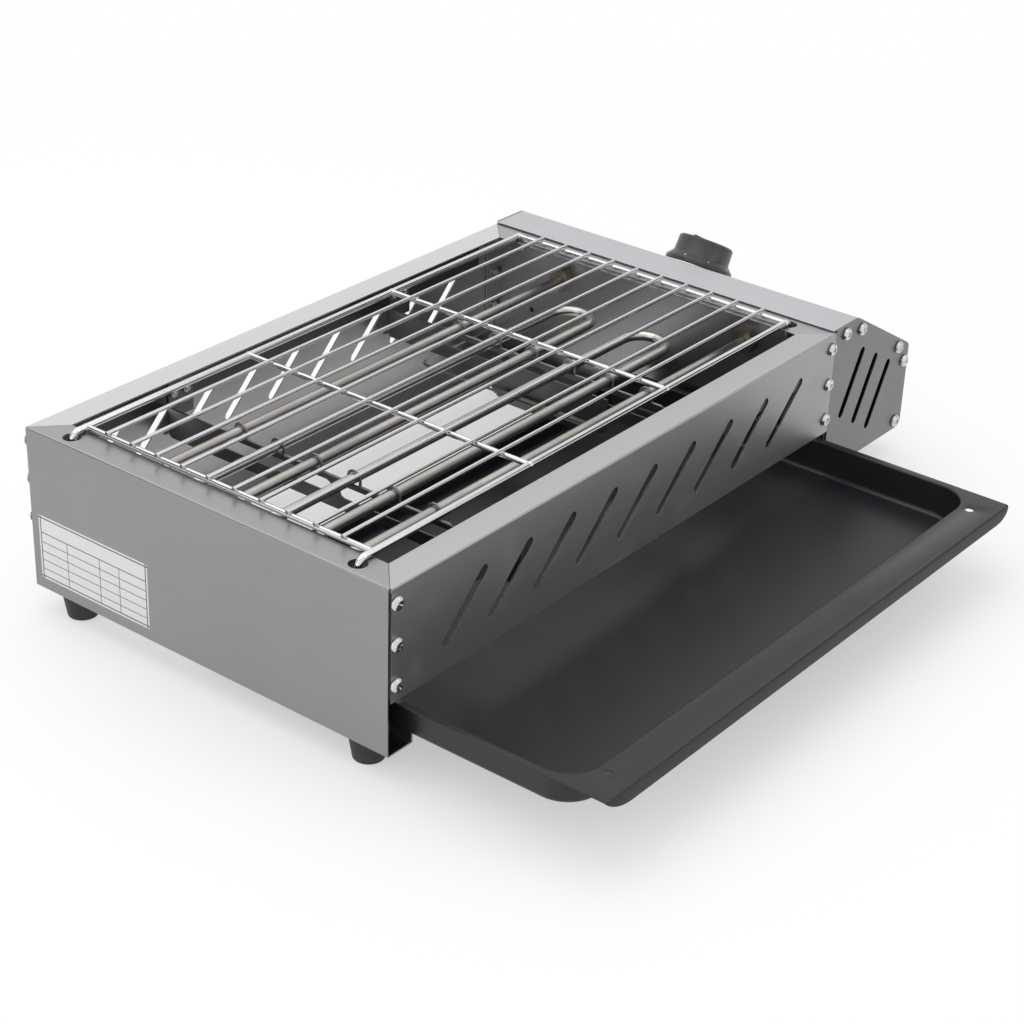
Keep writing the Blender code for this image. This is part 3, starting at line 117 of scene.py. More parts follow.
class Term:
    """A number in a material. Python's operators on it add Math nodes."""

    def __init__(self, nodes, socket):
        self.nodes = nodes
        self.socket = socket

    def math(self, operation, *values, clamp=False):
        """A Math node on the values, kept between zero and one where it is clamped."""
        sockets = dict(enumerate(values))
        made = self.nodes.node("ShaderNodeMath", sockets, operation=operation, use_clamp=clamp)
        return Term(self.nodes, made.outputs[0])

    def __add__(self, other):
        return self.math("ADD", self, other)

    def __sub__(self, other):
        return self.math("SUBTRACT", self, other)

    def __rsub__(self, other):
        return self.math("SUBTRACT", other, self)

    def __mul__(self, other):
        return self.math("MULTIPLY", self, other)

    def __pow__(self, other):
        return self.math("POWER", self, other)

    def capped(self):
        """The term itself, but never more than one."""
        return self.math("MINIMUM", self, 1.0)

    def near(self, target, width):
        """One within a width of the target, and zero elsewhere."""
        return self.math("COMPARE", self, target, width)

    def above(self, level):
        return self.math("GREATER_THAN", self, level)

    def over(self, low, high):
        """Zero below low, one above high and straight between them."""
        return self.math("DIVIDE", self - low, high - low, clamp=True)


class Finish(Nodes):
    """A Principled material that reads Object coordinates."""

    def __init__(self, name, colour, roughness, metallic=0.0):
        self.material = bpy.data.materials.new(name)
        self.material.use_nodes = True
        self.material.diffuse_color = (*colour, 1.0)
        super().__init__(self.material.node_tree)
        self.shader = self.tree.nodes["Principled BSDF"]
        self.place = self.node("ShaderNodeTexCoord").outputs["Object"]
        self.feed("Metallic", metallic)
        self.feed("Base Color", (*colour, 1.0))
        self.feed("Roughness", roughness)

    def feed(self, socket, value):
        """Gives one of the shader's sockets a value or a link."""
        self.give(self.shader.inputs[socket], value)

    def axes(self):
        """The x, y and z of a point on the piece."""
        split = self.node("ShaderNodeSeparateXYZ", {0: self.place})
        return [Term(self, output) for output in split.outputs]

    def scaled(self, *scale):
        """The place of a point times a scale for each axis."""
        return self.node("ShaderNodeMapping", {"Vector": self.place, "Scale": scale})

    def noise(self, scale, detail=3.0, roughness=0.55, stretch=(1, 1, 1)):
        """Soft noise with a size of 1 / scale metres, drawn out along the axes of low stretch."""
        sockets = {"Vector": self.scaled(*shaded(stretch, scale)), "Scale": 1.0}
        sockets.update({"Detail": detail, "Roughness": roughness})
        return Term(self, self.node("ShaderNodeTexNoise", sockets).outputs[0])

    def cells(self, scale):
        """Distance to the nearest of scattered points."""
        sockets = {"Vector": self.scaled(scale, scale, scale), "Scale": 1.0}
        return Term(self, self.node("ShaderNodeTexVoronoi", sockets).outputs["Distance"])

    def blend(self, share, *colours):
        """Colour between two colours by a share."""
        pair = [value if isinstance(value, bpy.types.NodeSocket) else (*value, 1.0) for value in colours]
        return self.node("ShaderNodeMix", {0: share, 6: pair[0], 7: pair[1]}, data_type="RGBA").outputs[2]

    def done(self, tone, rough, height=None, depth=0.0, strength=0.4):
        """The material with its colour, its roughness and a relief from a height of zero to one."""
        self.feed("Base Color", tone)
        self.feed("Roughness", rough)
        if height is not None:
            sockets = {"Height": height, "Distance": depth, "Strength": strength}
            self.feed("Normal", self.node("ShaderNodeBump", sockets))
        return self.material


def shaded(colour, share):
    return tuple(part * share for part in colour)


def brushed_steel(name, colour, roughness, along, top=None, flange_highlight=1.0, wall=None):
    """Sheet steel with fine brushing along one axis, cloudy sheen and a few faint smears.

    Where a top is given, the flange at that level is painted brighter by a share: a painted highlight for the
    light its flat top catches.
    Where a wall is given too, the slots' cut edges inside that depth are painted dark and made duller:
    painted shade in the slots.
    """
    finish = Finish(name, colour, roughness, 1.0)
    drawn = [1.0, 1.0, 1.0]
    drawn["XYZ".index(along)] = 0.012
    line = finish.noise(2600, 2.0, 0.6, drawn) * 0.6 + finish.noise(420, 3.0, 0.6, drawn) * 0.4
    clouds = finish.noise(9, 3.0, 0.5)
    smears = finish.noise(26, 4.0, 0.65).over(0.56, 0.74)
    dark, light = shaded(colour, 0.86), shaded(colour, 1.13)
    tone = finish.blend(clouds.over(0.35, 0.7) * 0.5, finish.blend(line, dark, light), shaded(colour, 0.90))
    grain = line * 0.10 + clouds * 0.10 + smears * 0.07 + (roughness - 0.10)
    # Painted highlight: the flange's top is coloured brighter by the highlight share, for the light it
    # catches.
    if top is not None:
        _, depth, height = finish.axes()
        bright = finish.blend(line, shaded(dark, flange_highlight), shaded(light, flange_highlight))
        tone = finish.blend(height.over(top - 0.0012, top - 0.0004), tone, bright)
        # Painted shade: the slots' cut edges in the wall's sheet are coloured dark, for the shade in the
        # slots, and made rougher.
        if wall is not None:
            painted_slot_shade = depth.near(wall, 0.0004) * (1.0 - height.above(top - 0.0030))
            tone = finish.blend(painted_slot_shade, tone, shaded(colour, 0.20))
            grain = grain + painted_slot_shade * 0.25
    return finish.done(tone, grain, line, 0.00004, 0.35)


def used_inner_steel(name, colour):
    """Plain inner sheet with a dull grain, heat tint and small dark specks."""
    finish = Finish(name, colour, 0.42, 1.0)
    grain = finish.noise(700, 3.0)
    clouds = finish.noise(16, 4.0, 0.6)
    tint = clouds.over(0.45, 0.72)
    specks = 1.0 - finish.cells(260).over(0.06, 0.12)
    patch = finish.noise(30, 2.0).over(0.5, 0.62)
    tone = finish.blend(tint * 0.55, colour, (colour[0] * 1.05, colour[1] * 0.92, colour[2] * 0.74))
    tone = finish.blend(specks * patch * 0.7, tone, (0.05, 0.045, 0.04))
    rough = grain * 0.10 + clouds * 0.16 + 0.28
    return finish.done(tone, rough, grain, 0.00005, 0.4)


def rack_chrome():
    """Bright plated wire with a little haze, as plating has near its welds."""
    colour = (0.70, 0.70, 0.71)
    finish = Finish("rack_chrome", colour, 0.10, 1.0)
    haze = finish.noise(60, 4.0, 0.6)
    fine = finish.noise(900, 2.0)
    tone = finish.blend(haze.over(0.4, 0.75) * 0.5, colour, (0.58, 0.58, 0.59))
    rough = haze * 0.12 + fine * 0.05 + 0.05
    return finish.done(tone, rough, haze * 0.7 + fine * 0.3, 0.00006, 0.4)


def sheath_steel():
    """Element tube: satin steel that the heat has turned straw and grey in patches."""
    colour = (0.60, 0.585, 0.55)
    finish = Finish("sheath_steel", colour, 0.33, 1.0)
    patches = finish.noise(22, 3.0, 0.55, (0.5, 1, 1))
    fine = finish.noise(1500, 2.0, 0.5, (0.05, 1, 1))
    tone = finish.blend(patches.over(0.42, 0.62), colour, (0.46, 0.45, 0.43))
    tone = finish.blend(finish.noise(55, 2.0).over(0.58, 0.70) * 0.5, tone, (0.50, 0.45, 0.37))
    rough = patches * 0.18 + fine * 0.10 + 0.18
    return finish.done(tone, rough, fine, 0.00004, 0.4)


def worn(name, colour, second, roughness, mask, span, dulled, skin, metallic=0.0):
    """Finish that soft patches turn towards a second colour and a duller sheen.

    The mask is the patches' noise, the span says where they set in and where they are full,
    dulled is their share in the roughness and what is added to it, and the skin is the scale,
    detail, depth and strength of the relief.
    """
    finish = Finish(name, colour, roughness, metallic)
    patches = finish.noise(*mask)
    tone = finish.blend(patches.over(*span), colour, second)
    rough = patches * dulled[0] + dulled[1]
    return finish.done(tone, rough, finish.noise(*skin[:2]), *skin[2:])


def zinc_plate():
    """Bright zinc with a faint warm cast and small scuffs."""
    colours = {"colour": (0.66, 0.66, 0.65), "second": (0.58, 0.56, 0.50)}
    wear = {"mask": (120, 3.0), "span": (0.4, 0.7), "dulled": (0.16, 0.13)}
    return worn("zinc_plate", roughness=0.34, metallic=1.0, skin=(1400, 2.0, 0.00003, 0.4), **colours, **wear)


def tray_coating():
    """Satin black baked coating with an orange-peel skin, fine dust and soft rubs."""
    colour = (0.009, 0.009, 0.012)
    finish = Finish("tray_coating", colour, 0.42)
    finish.feed("Specular IOR Level", 0.45)
    peel = finish.noise(620, 2.0, 0.5)
    clouds = finish.noise(7, 3.0, 0.5)
    rubs = finish.noise(40, 3.0, 0.6, (1.0, 0.15, 1.0)).over(0.55, 0.75)
    dust = 1.0 - finish.cells(420).over(0.05, 0.10)
    sparse = finish.noise(60, 1.0).over(0.58, 0.66)
    tone = finish.blend(clouds.over(0.3, 0.7), colour, shaded(colour, 1.25))
    tone = finish.blend(dust * sparse * 0.35, tone, (0.22, 0.22, 0.22))
    rough = peel * 0.08 + clouds * 0.08 + rubs * 0.06 + 0.25
    return finish.done(tone, rough, peel, 0.00007, 0.35)


def moulded_black(name, colour, roughness):
    """Moulded black plastic with a fine spark-eroded skin."""
    finish = Finish(name, colour, roughness)
    skin = finish.noise(1800, 2.0)
    clouds = finish.noise(45, 3.0)
    tone = finish.blend(clouds, shaded(colour, 0.85), shaded(colour, 1.2))
    rough = skin * 0.10 + clouds * 0.08 + (roughness - 0.09)
    return finish.done(tone, rough, skin, 0.00003, 0.35)


def foot_rubber():
    """Matt rubber with a dusty bloom."""
    colours = {"colour": (0.016, 0.016, 0.017), "second": (0.045, 0.044, 0.042)}
    wear = {"mask": (90, 4.0, 0.6), "span": (0.45, 0.8), "dulled": (0.2, 0.52)}
    return worn("foot_rubber", roughness=0.62, skin=(1300, 3.0, 0.00006, 0.5), **colours, **wear)


def glazed_ceramic():
    """Off-white fired ceramic with small pits and stains."""
    colours = {"colour": (0.72, 0.69, 0.62), "second": (0.55, 0.50, 0.42)}
    wear = {"mask": (50, 4.0), "span": (0.5, 0.8), "dulled": (0.2, 0.45)}
    return worn("ceramic", roughness=0.55, skin=(900, 3.0, 0.00008, 0.5), **colours, **wear)


def woven_sleeve():
    """Glass-fibre sleeve of the leads, woven crosswise."""
    colour = (0.70, 0.67, 0.60)
    finish = Finish("lead_sleeve", colour, 0.7)
    x, y, z = finish.axes()
    run = (x + y * 0.7 + z) * 5200
    weave = run.math("SINE", run) * 0.5 + 0.5
    tone = finish.blend(weave, shaded(colour, 0.72), colour)
    rough = weave * 0.1 + 0.62
    return finish.done(tone, rough, weave, 0.0001, 0.5)


def plain_metal(name, colour, roughness):
    """Drawn copper or brass with a thin tarnish."""
    finish = Finish(name, colour, roughness, 1.0)
    tarnish = finish.noise(80, 4.0, 0.6)
    tone = finish.blend(tarnish.over(0.45, 0.75) * 0.7, colour, shaded(colour, 0.55))
    rough = tarnish * 0.2 + (roughness - 0.06)
    return finish.done(tone, rough, finish.noise(1100, 2.0), 0.00004, 0.4)


def ruled_paper(low, high):
    """White sticker face with an empty table of ruled lines, from its low to its high corner."""
    colour, ink = (0.72, 0.72, 0.74), (0.05, 0.05, 0.055)
    margin, border_line, head_line, thin_line = 0.0016, 0.0004, 0.00032, 0.00026
    finish = Finish("sticker", colour, 0.38)
    _, y, z = finish.axes()
    across, up = high.y - low.y, high.z - low.z
    border = y.near(low.y + margin, border_line) + y.near(high.y - margin, border_line)
    border = border + z.near(low.z + margin, border_line) + z.near(high.z - margin, border_line)
    head = high.z - up * 0.27
    table = z.near(head, head_line)
    for share in (0.42, 0.56, 0.70, 0.84):
        table = table + z.near(high.z - up * share, thin_line)
    for share in (0.26, 0.56, 0.74):
        table = table + y.near(high.y - across * share, thin_line) * (1.0 - z.above(head))
    inside = y.near((low.y + high.y) / 2, across / 2 - margin)
    inside = inside * z.near((low.z + high.z) / 2, up / 2 - margin)
    drawn = (table * inside + border).capped()
    fibre = finish.noise(700, 3.0)
    paper = finish.blend(fibre, shaded(colour, 0.95), colour)
    tone = finish.blend(drawn * 0.95, paper, ink)
    rough = fibre * 0.1 + 0.32
    return finish.done(tone, rough, fibre, 0.00002, 0.4)


def print_white():
    """Tampon print of the dial's numbers."""
    colour = (0.80, 0.80, 0.80)
    finish = Finish("dial_print", colour, 0.5)
    wear = finish.noise(1500, 2.0)
    tone = finish.blend(wear.over(0.45, 0.7), colour, (0.66, 0.66, 0.66))
    rough = wear * 0.1 + 0.45
    return finish.done(tone, rough)


class Layout(Nodes):
    """A Geometry Nodes tree with named inputs that ends in one material, its input Finish."""

    def __init__(self, name, inputs):
        super().__init__(bpy.data.node_groups.new(name, "GeometryNodeTree"))
        self.slots = {}
        face = self.tree.interface
        face.new_socket("Geometry", in_out="INPUT", socket_type="NodeSocketGeometry")
        for label, kind in {**inputs, "Finish": "Material"}.items():
            made = face.new_socket(label, in_out="INPUT", socket_type=f"NodeSocket{kind}")
            self.slots[label] = made.identifier
        face.new_socket("Geometry", in_out="OUTPUT", socket_type="NodeSocketGeometry")
        self.given = self.node("NodeGroupInput").outputs

    def row(self, count, step, start=None):
        """Points in a row, by the names of the inputs for it."""
        sockets = {"Count": self.given[count], "Offset": self.given[step]}
        if start:
            sockets["Start Location"] = self.given[start]
        return self.node("GeometryNodeMeshLine", sockets, mode="OFFSET")

    def skin(self, path):
        """Round wall about a path, as thick as the inputs Radius and Sides say, with flat ends."""
        sockets = {"Resolution": self.given["Sides"], "Radius": self.given["Radius"]}
        ring = self.node("GeometryNodeCurvePrimitiveCircle", sockets)
        sockets = {"Curve": path, "Profile Curve": ring, "Fill Caps": True}
        return self.node("GeometryNodeCurveToMesh", sockets)

    def copies(self, points, shape, **sockets):
        """One instance of a shape on each point."""
        sockets.update({"Points": points, "Instance": shape})
        return self.node("GeometryNodeInstanceOnPoints", sockets)

    def end(self, shape):
        """Realizes what was made, shades it and gives it the finish."""
        real = self.node("GeometryNodeRealizeInstances", {0: shape})
        smooth = self.node("GeometryNodeSetShadeSmooth", {0: real})
        sockets = {"Geometry": smooth, "Material": self.given["Finish"]}
        self.node("NodeGroupOutput", {0: self.node("GeometryNodeSetMaterial", sockets)})
        return self

    def grow(self, name, base, looks, values, crease=35):
        """Runs the tree on a base object and keeps its result as a plain mesh object."""
        modifier = base.modifiers.new(self.tree.name, "NODES")
        modifier.node_group = self.tree
        for label, value in {**values, "Finish": looks}.items():
            modifier[self.slots[label]] = value
        bpy.context.scene.collection.objects.link(base)
        mesh = evaluated(base)
        mesh.name = name
        bpy.data.objects.remove(base)
        mesh.set_sharp_from_angle(angle=math.radians(crease))
        return linked(name, mesh)


def straight_wires():
    """Equal straight wires in a row, with flat ends."""
    kinds = {"Count": "Int", "Start": "Vector", "Spacing": "Vector", "Reach": "Vector"}
    made = Layout("straight_wires", {**kinds, "Radius": "Float", "Sides": "Int"})
    line = made.node("GeometryNodeCurvePrimitiveLine", {"End": made.given["Reach"]})
    return made.end(made.copies(made.row("Count", "Spacing", "Start"), made.skin(line)))


def bent_tube():
    """Round tube along a path of straight runs, with every corner bent to one radius."""
    made = Layout("bent_tube", {"Bend": "Float", "Bend Points": "Int", "Radius": "Float", "Sides": "Int"})
    sockets = {"Curve": made.given["Geometry"], "Radius": made.given["Bend"], "Limit Radius": True}
    sockets["Count"] = made.given["Bend Points"]
    return made.end(made.skin(made.node("GeometryNodeFilletCurve", sockets, mode="POLY")))


def heads_on_points():
    """One head on each point, its axis along the point's facing, each turned by chance."""
    made = Layout("heads_on_points", {"Head": "Object", "Scale": "Float", "Seed": "Int"})
    given = made.given
    head = made.node("GeometryNodeObjectInfo", {"Object": given["Head"], "As Instance": True})
    facing = made.node("GeometryNodeInputNamedAttribute", {"Name": "facing"}, data_type="FLOAT_VECTOR")
    sockets = {2: 0.0, 3: math.tau, "Seed": given["Seed"]}
    spin = made.node("FunctionNodeRandomValue", sockets, data_type="FLOAT")
    angles = made.node("ShaderNodeCombineXYZ", {2: spin.outputs[1]})
    turn = made.node("FunctionNodeAlignRotationToVector", {"Vector": facing}, axis="Z")
    sockets = {"Rotation": turn, "Rotate By": made.node("FunctionNodeEulerToRotation", {0: angles})}
    both = made.node("FunctionNodeRotateRotation", sockets, rotation_space="LOCAL")
    shape = head.outputs["Geometry"]
    return made.end(made.copies(given["Geometry"], shape, Rotation=both, Scale=given["Scale"]))


def weld_beads():
    """Small beads of weld on a grid of crossings, no two quite alike."""
    kinds = {"Columns": "Int", "Rows": "Int", "Start": "Vector", "Column Step": "Vector"}
    made = Layout("weld_beads", {**kinds, "Row Step": "Vector", "Size": "Vector", "Seed": "Int"})
    grid = made.copies(made.row("Columns", "Column Step", "Start"), made.row("Rows", "Row Step"))
    points = made.node("GeometryNodeRealizeInstances", {0: grid})
    bead = made.node("GeometryNodeMeshIcoSphere", {"Radius": 1.0, "Subdivisions": 2})
    least, most = (0.75, 0.75, 0.85), (1.2, 1.2, 1.1)
    sockets = {0: least, 1: most, "Seed": made.given["Seed"]}
    chance = made.node("FunctionNodeRandomValue", sockets, data_type="FLOAT_VECTOR")
    size = made.node("ShaderNodeVectorMath", {0: chance, 1: made.given["Size"]}, operation="MULTIPLY")
    return made.end(made.copies(points, bead, Scale=size))


def linked(name, data):
    """A new object in the scene."""
    made = bpy.data.objects.new(name, data)
    bpy.context.scene.collection.objects.link(made)
    return made


def evaluated(piece):
    """A plain mesh of an object as its modifiers leave it."""
    bpy.context.view_layer.update()
    graph = bpy.context.evaluated_depsgraph_get()
    return bpy.data.meshes.new_from_object(piece.evaluated_get(graph), depsgraph=graph)


def points_base(places, facings):
    """A mesh of loose points with the direction that each one faces."""
    mesh = bpy.data.meshes.new("points")
    mesh.from_pydata([tuple(place) for place in places], [], [])
    facing = mesh.attributes.new("facing", "FLOAT_VECTOR", "POINT")
    for index, value in enumerate(facings):
        facing.data[index].vector = value
    return bpy.data.objects.new("points", mesh)


def path_base(points):
    """A curve of straight runs through the points."""
    curve = bpy.data.curves.new("path", "CURVE")
    curve.dimensions = "3D"
    spline = curve.splines.new("POLY")
    spline.points.add(len(points) - 1)
    for point, place in zip(spline.points, points):
        point.co = (*place, 1.0)
    return bpy.data.objects.new("path", curve)


def empty_base():
    return bpy.data.objects.new("base", bpy.data.meshes.new("base"))


def settle(piece, body, stands_for):
    """Lets a finished piece ride on its body and stand for the CAD nodes it replaces, which it hides."""
    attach(piece, body)
    if stands_for:
        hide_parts(*stands_for)


def solid(name, shape, looks, crease):
    """Mesh object of a bmesh, with smooth faces and hard creases."""
    mesh = bpy.data.meshes.new(name)
    shape.to_mesh(mesh)
    shape.free()
    mesh.materials.append(looks)
    mesh.shade_smooth()
    mesh.set_sharp_from_angle(angle=math.radians(crease))
    return linked(name, mesh)


def shaped(name, shape, looks, crease=35):
    """Mesh object of a bmesh whose points are merged and whose faces are turned outwards."""
    bmesh.ops.remove_doubles(shape, verts=shape.verts, dist=MERGE)
    bmesh.ops.recalc_face_normals(shape, faces=shape.faces)
    return solid(name, shape, looks, crease)


def turned(shape, profile, steps, place=Matrix(), ring=False):
    """Body of revolution about the place's Z, from (radius, height) points."""
    points = [shape.verts.new(place @ Vector((radius, 0, height))) for radius, height in profile]
    edges = [shape.edges.new(pair) for pair in zip(points, points[1:])]
    if ring:
        edges.append(shape.edges.new((points[-1], points[0])))
    axis = place.to_3x3() @ Vector((0, 0, 1))
    path = {"axis": axis, "cent": place.translation, "angle": math.tau, "steps": steps}
    bmesh.ops.spin(shape, geom=points + edges, use_merge=True, **path)


def arc(x, y, radius, start, turn=QUARTER, steps=12):
    """Points along an arc in a plane."""
    angles = [start + turn * step / steps for step in range(steps + 1)]
    return [(x + radius * math.cos(angle), y + radius * math.sin(angle)) for angle in angles]


def rounded(low, high, radius, steps):
    """Outline of a rectangle from its low to its high corner, with rounded corners."""
    (left, foot), (right, top) = low, high
    points = arc(left + radius, foot + radius, radius, math.pi, steps=steps)
    points += arc(right - radius, foot + radius, radius, math.pi * 1.5, steps=steps)
    points += arc(right - radius, top - radius, radius, 0.0, steps=steps)
    return points + arc(left + radius, top - radius, radius, QUARTER, steps=steps)


def brick(place, size, radius, segments, axis=None):
    """A box of a size at a place, with its edges rounded: all, or those that run along one axis."""
    shape = bmesh.new()
    bmesh.ops.create_cube(shape, size=1.0)
    shape.transform(place @ Matrix.Diagonal((*size, 1.0)))
    edges = shape.edges[:]
    if axis is not None:
        edges = [edge for edge in edges if abs(edge.verts[0].co[axis] - edge.verts[1].co[axis]) > MERGE]
    bmesh.ops.bevel(shape, geom=edges, offset=radius, segments=segments, affect="EDGES", profile=0.5)
    return shape


def bent(profile, steps):
    """The (x, y) points of an open profile of (x, y, radius), its corners replaced by arcs."""
    result = [profile[0][:2]]
    for before, (x, y, radius), after in zip(profile, profile[1:], profile[2:]):
        if radius == 0:
            result.append((x, y))
            continue
        corner = Vector((x, y))
        back = (Vector(before[:2]) - corner).normalized()
        ahead = (Vector(after[:2]) - corner).normalized()
        half = math.acos(max(-1, min(1, back.dot(ahead)))) / 2
        centre = corner + (back + ahead).normalized() * (radius / math.sin(half))
        reach = radius / math.tan(half)
        first = (corner + back * reach - centre).normalized()
        last = (corner + ahead * reach - centre).normalized()
        turn = math.pi - 2 * half
        for step in range(steps + 1):
            share = step / steps
            spoke = first * math.sin((1 - share) * turn) + last * math.sin(share * turn)
            result.append(tuple(centre + spoke * (radius / math.sin(turn))))
    return result + [profile[-1][:2]]


def lofted(shape, rings, closed_ends=True):
    """Skin through rings of equal counts."""
    loops = [[shape.verts.new(point) for point in ring] for ring in rings]
    for lower, upper in zip(loops, loops[1:]):
        for index in range(len(lower)):
            shape.faces.new((lower[index - 1], lower[index], upper[index], upper[index - 1]))
    if closed_ends:
        shape.faces.new(loops[0])
        shape.faces.new(loops[-1])
    return loops


def refined(node, looks, edge):
    """A merged copy of a sheet-metal node with its cut edges eased, standing for that node."""
    shape = bmesh.new()
    shape.from_mesh(frame["nodes"][node].data)
    bmesh.ops.remove_doubles(shape, verts=shape.verts, dist=MERGE)
    bmesh.ops.dissolve_limit(shape, angle_limit=math.radians(0.5), verts=shape.verts, edges=shape.edges)
    made = solid(f"{node}_sheet", shape, looks, 35)
    ease_edges(made, edge, 38)
    weighted = made.modifiers.new("even_shading", "WEIGHTED_NORMAL")
    weighted.weight = 100
    weighted.keep_sharp = True
    return made


def ease_edges(piece, width, turn):
    """Bevels the edges where a piece's faces turn by more than an angle in degrees."""
    bevel = piece.modifiers.new("eased_edges", "BEVEL")
    bevel.width = width
    bevel.segments = 2
    bevel.limit_method = "ANGLE"
    bevel.angle_limit = math.radians(turn)


def hexagon(corner, limit, steps=24):
    """Outline of a hexagon with its corners cut back to a circle."""
    points = []
    for step in range(steps):
        angle = math.tau * step / steps
        flat = corner * math.cos(math.pi / 6) / math.cos((angle % (math.pi / 3)) - math.pi / 6)
        reach = min(flat, limit)
        points.append((reach * math.cos(angle), reach * math.sin(angle)))
    return points


def finished(piece, crease):
    """The piece with its modifiers made part of its mesh."""
    mesh = evaluated(piece)
    piece.modifiers.clear()
    piece.data = mesh
    mesh.set_sharp_from_angle(angle=math.radians(crease))
    return piece


def dress(node, looks):
    """Gives a carried-over CAD node its finish."""
    slots = frame["nodes"][node].data.materials
    slots.clear()
    slots.append(looks)


def length(name, description, default):
    return FloatProperty(name=name, description=description, unit="LENGTH", default=default)


def count(name, description, default):
    return IntProperty(name=name, description=description, default=default)


def tint(name, description, default):
    return FloatVectorProperty(name=name, description=description, subtype="COLOR", default=default)


def wall_place(name, default):
    about = "Its y and z on the wall"
    return FloatVectorProperty(name=name, description=about, size=2, unit="LENGTH", default=default)


class SheetSettings(bpy.types.PropertyGroup):
    """Colours and edges of the folded steel."""

    end_colour: tint("End wall", "Colour of the end wall's steel", (0.314, 0.307, 0.308))
    side_colour: tint("Long walls", "Colour of the long walls' steel", (0.395, 0.390, 0.395))
    cover_colour: tint("Cover", "Colour of the control cover's steel", (0.54, 0.535, 0.56))
    plate_colour: tint("Side plates", "Colour of the control box side plates", (0.225, 0.225, 0.225))
    inner_colour: tint("Inner sheet", "Colour of the inner sheet parts", (0.26, 0.26, 0.27))
    edge: length("Eased edge", "Width of the eased sheet edges", 0.00025)
    stiffener_foot: length("Stiffener foot", "Lower edge of the walls' inner strips", 0.0787)
    stiffener_gap: length("Stiffener gap", "From the top of a wall to its strip", 0.0011)
    stiffener_sheet: length("Stiffener sheet", "Thickness of a strip", 0.00028)
    stiffener_corner: length("Stiffener corner", "Rounding of a strip's corners", 0.0020)


class RackSettings(bpy.types.PropertyGroup):
    """Sizes of the welded rack."""

    half_width: length("Half width", "From the middle to an outer wire", 0.1095)
    hole_inset: length("Hole inset", "From an end of the body to a rack hole", 0.0094)
    outer_radius: length("Outer wire", "Radius of an outer wire", 0.0021)
    cross_radius: length("Cross wire", "Radius of a cross wire", 0.0018)
    rod_radius: length("Rod", "Radius of a thin rod", 0.0013)
    rod_count: count("Rods", "Number of thin rods", 10)
    rod_pitch: length("Rod pitch", "From rod to rod", 0.02006)
    rod_end: length("Rod end", "Rod past the last cross wire", 0.0026)
    weld_sink: length("Weld sink", "Depth of rod in wire", 0.0004)
    cross_count: count("Cross wires", "Number of cross wires", 4)
    cross_first: length("First cross wire", "Its place along x", 0.0210)
    cross_last: length("Last cross wire", "Its place along x", 0.4210)
    bend: length("Bend", "Radius of a wire's bend", 0.0055)
    sides: count("Sides", "Faces round a wire", 16)


class ElementSettings(bpy.types.PropertyGroup):
    """Sizes of the looped element."""

    radius: length("Radius", "Radius of the tube", 0.00325)
    runs: count("Runs", "Straight runs of the tube", 6)
    pitch: length("Pitch", "From run to run", 0.0304)
    near: length("Near turn", "x of the turns at the end wall", 0.0420)
    far: length("Far turn", "x of the turns at the divider", 0.3938)
    sides: count("Sides", "Faces round the tube", 20)
    turn_points: count("Turn points", "Points in half a turn", 10)


class TraySettings(bpy.types.PropertyGroup):
    """Sizes of the drip tray."""

    sheet: length("Sheet", "Thickness of the sheet", 0.0008)
    rim: length("Rim", "Width of the rim", 0.0040)
    ledge: length("Ledge", "From the nose to the pan", 0.0245)
    lean: length("Wall lean", "How far a wall leans in", 0.0020)
    foot_radius: length("Foot bend", "Bend at the bottom", 0.0032)
    brim_radius: length("Brim bend", "Bend under the rim", 0.0012)
    corner: length("Corner", "Corner of the pan in plan", 0.0220)
    lip: length("Lip drop", "How far the front lip drops", 0.0062)
    fold: length("Lip reach", "From the nose to the fold", 0.0026)
    lip_bend: length("Lip bend", "Bend of the fold", 0.0012)
    lip_end: length("Lip end", "Length of its rounded end", 0.0190)
    hole: length("Hole", "Radius of a ledge hole", 0.00275)
    hole_end: length("Hole inset", "From the end to a hole", 0.0220)
    hole_front: length("Hole setback", "From the front to a hole", 0.0180)
    edge: length("Eased edge", "Width of the eased edges", 0.0002)


class KnobSettings(bpy.types.PropertyGroup):
    """Sizes of the knob above the slope."""

    radius: length("Radius", "Radius of the grip", 0.0195)
    crown: length("Crown", "Radius at the top", 0.0182)
    skirt: length("Skirt", "Radius of the skirt", 0.0240)
    neck: length("Neck", "Height of the grip's foot", 0.0080)
    top: length("Top", "Height of the crown", 0.0210)
    lift: length("Lift", "Gap to the slope", 0.0018)
    digit: length("Digit", "Height of a number", 0.0034)
    colour: tint("Colour", "Colour of the knob", (0.032, 0.032, 0.034))


class ScrewSettings(bpy.types.PropertyGroup):
    """Sizes of the panel screws."""

    radius: length("Head", "Radius of a head", 0.0043)
    height: length("Height", "Height of a head", 0.0027)
    recess: length("Recess", "Reach of the cross recess", 0.0023)
    blade: length("Blade", "Width of the cross recess", 0.0008)
    nut: length("Nut", "Radius of a nut at its corners", 0.0033)
    nut_height: length("Nut height", "Height of a nut", 0.0022)
    nut_level: length("Nut level", "Height of the nuts", 0.0867)
    nut_sheet: length("Nut seat", "Thickness of a tab", 0.0010)
    nut_first: length("First nut", "Its place on a tab", 0.0034)
    nut_last: length("Last nut", "Its place on a tab", 0.0142)
    seed: count("Seed", "Chance for the screws' turns", 7)


class LabelSettings(bpy.types.PropertyGroup):
    """Place and size of the bare sticker on the end wall."""

    low: wall_place("Low corner", (0.1817, 0.0080))
    high: wall_place("High corner", (0.2727, 0.0505))
    sheet: length("Thickness", "Thickness of the sticker", 0.0001)


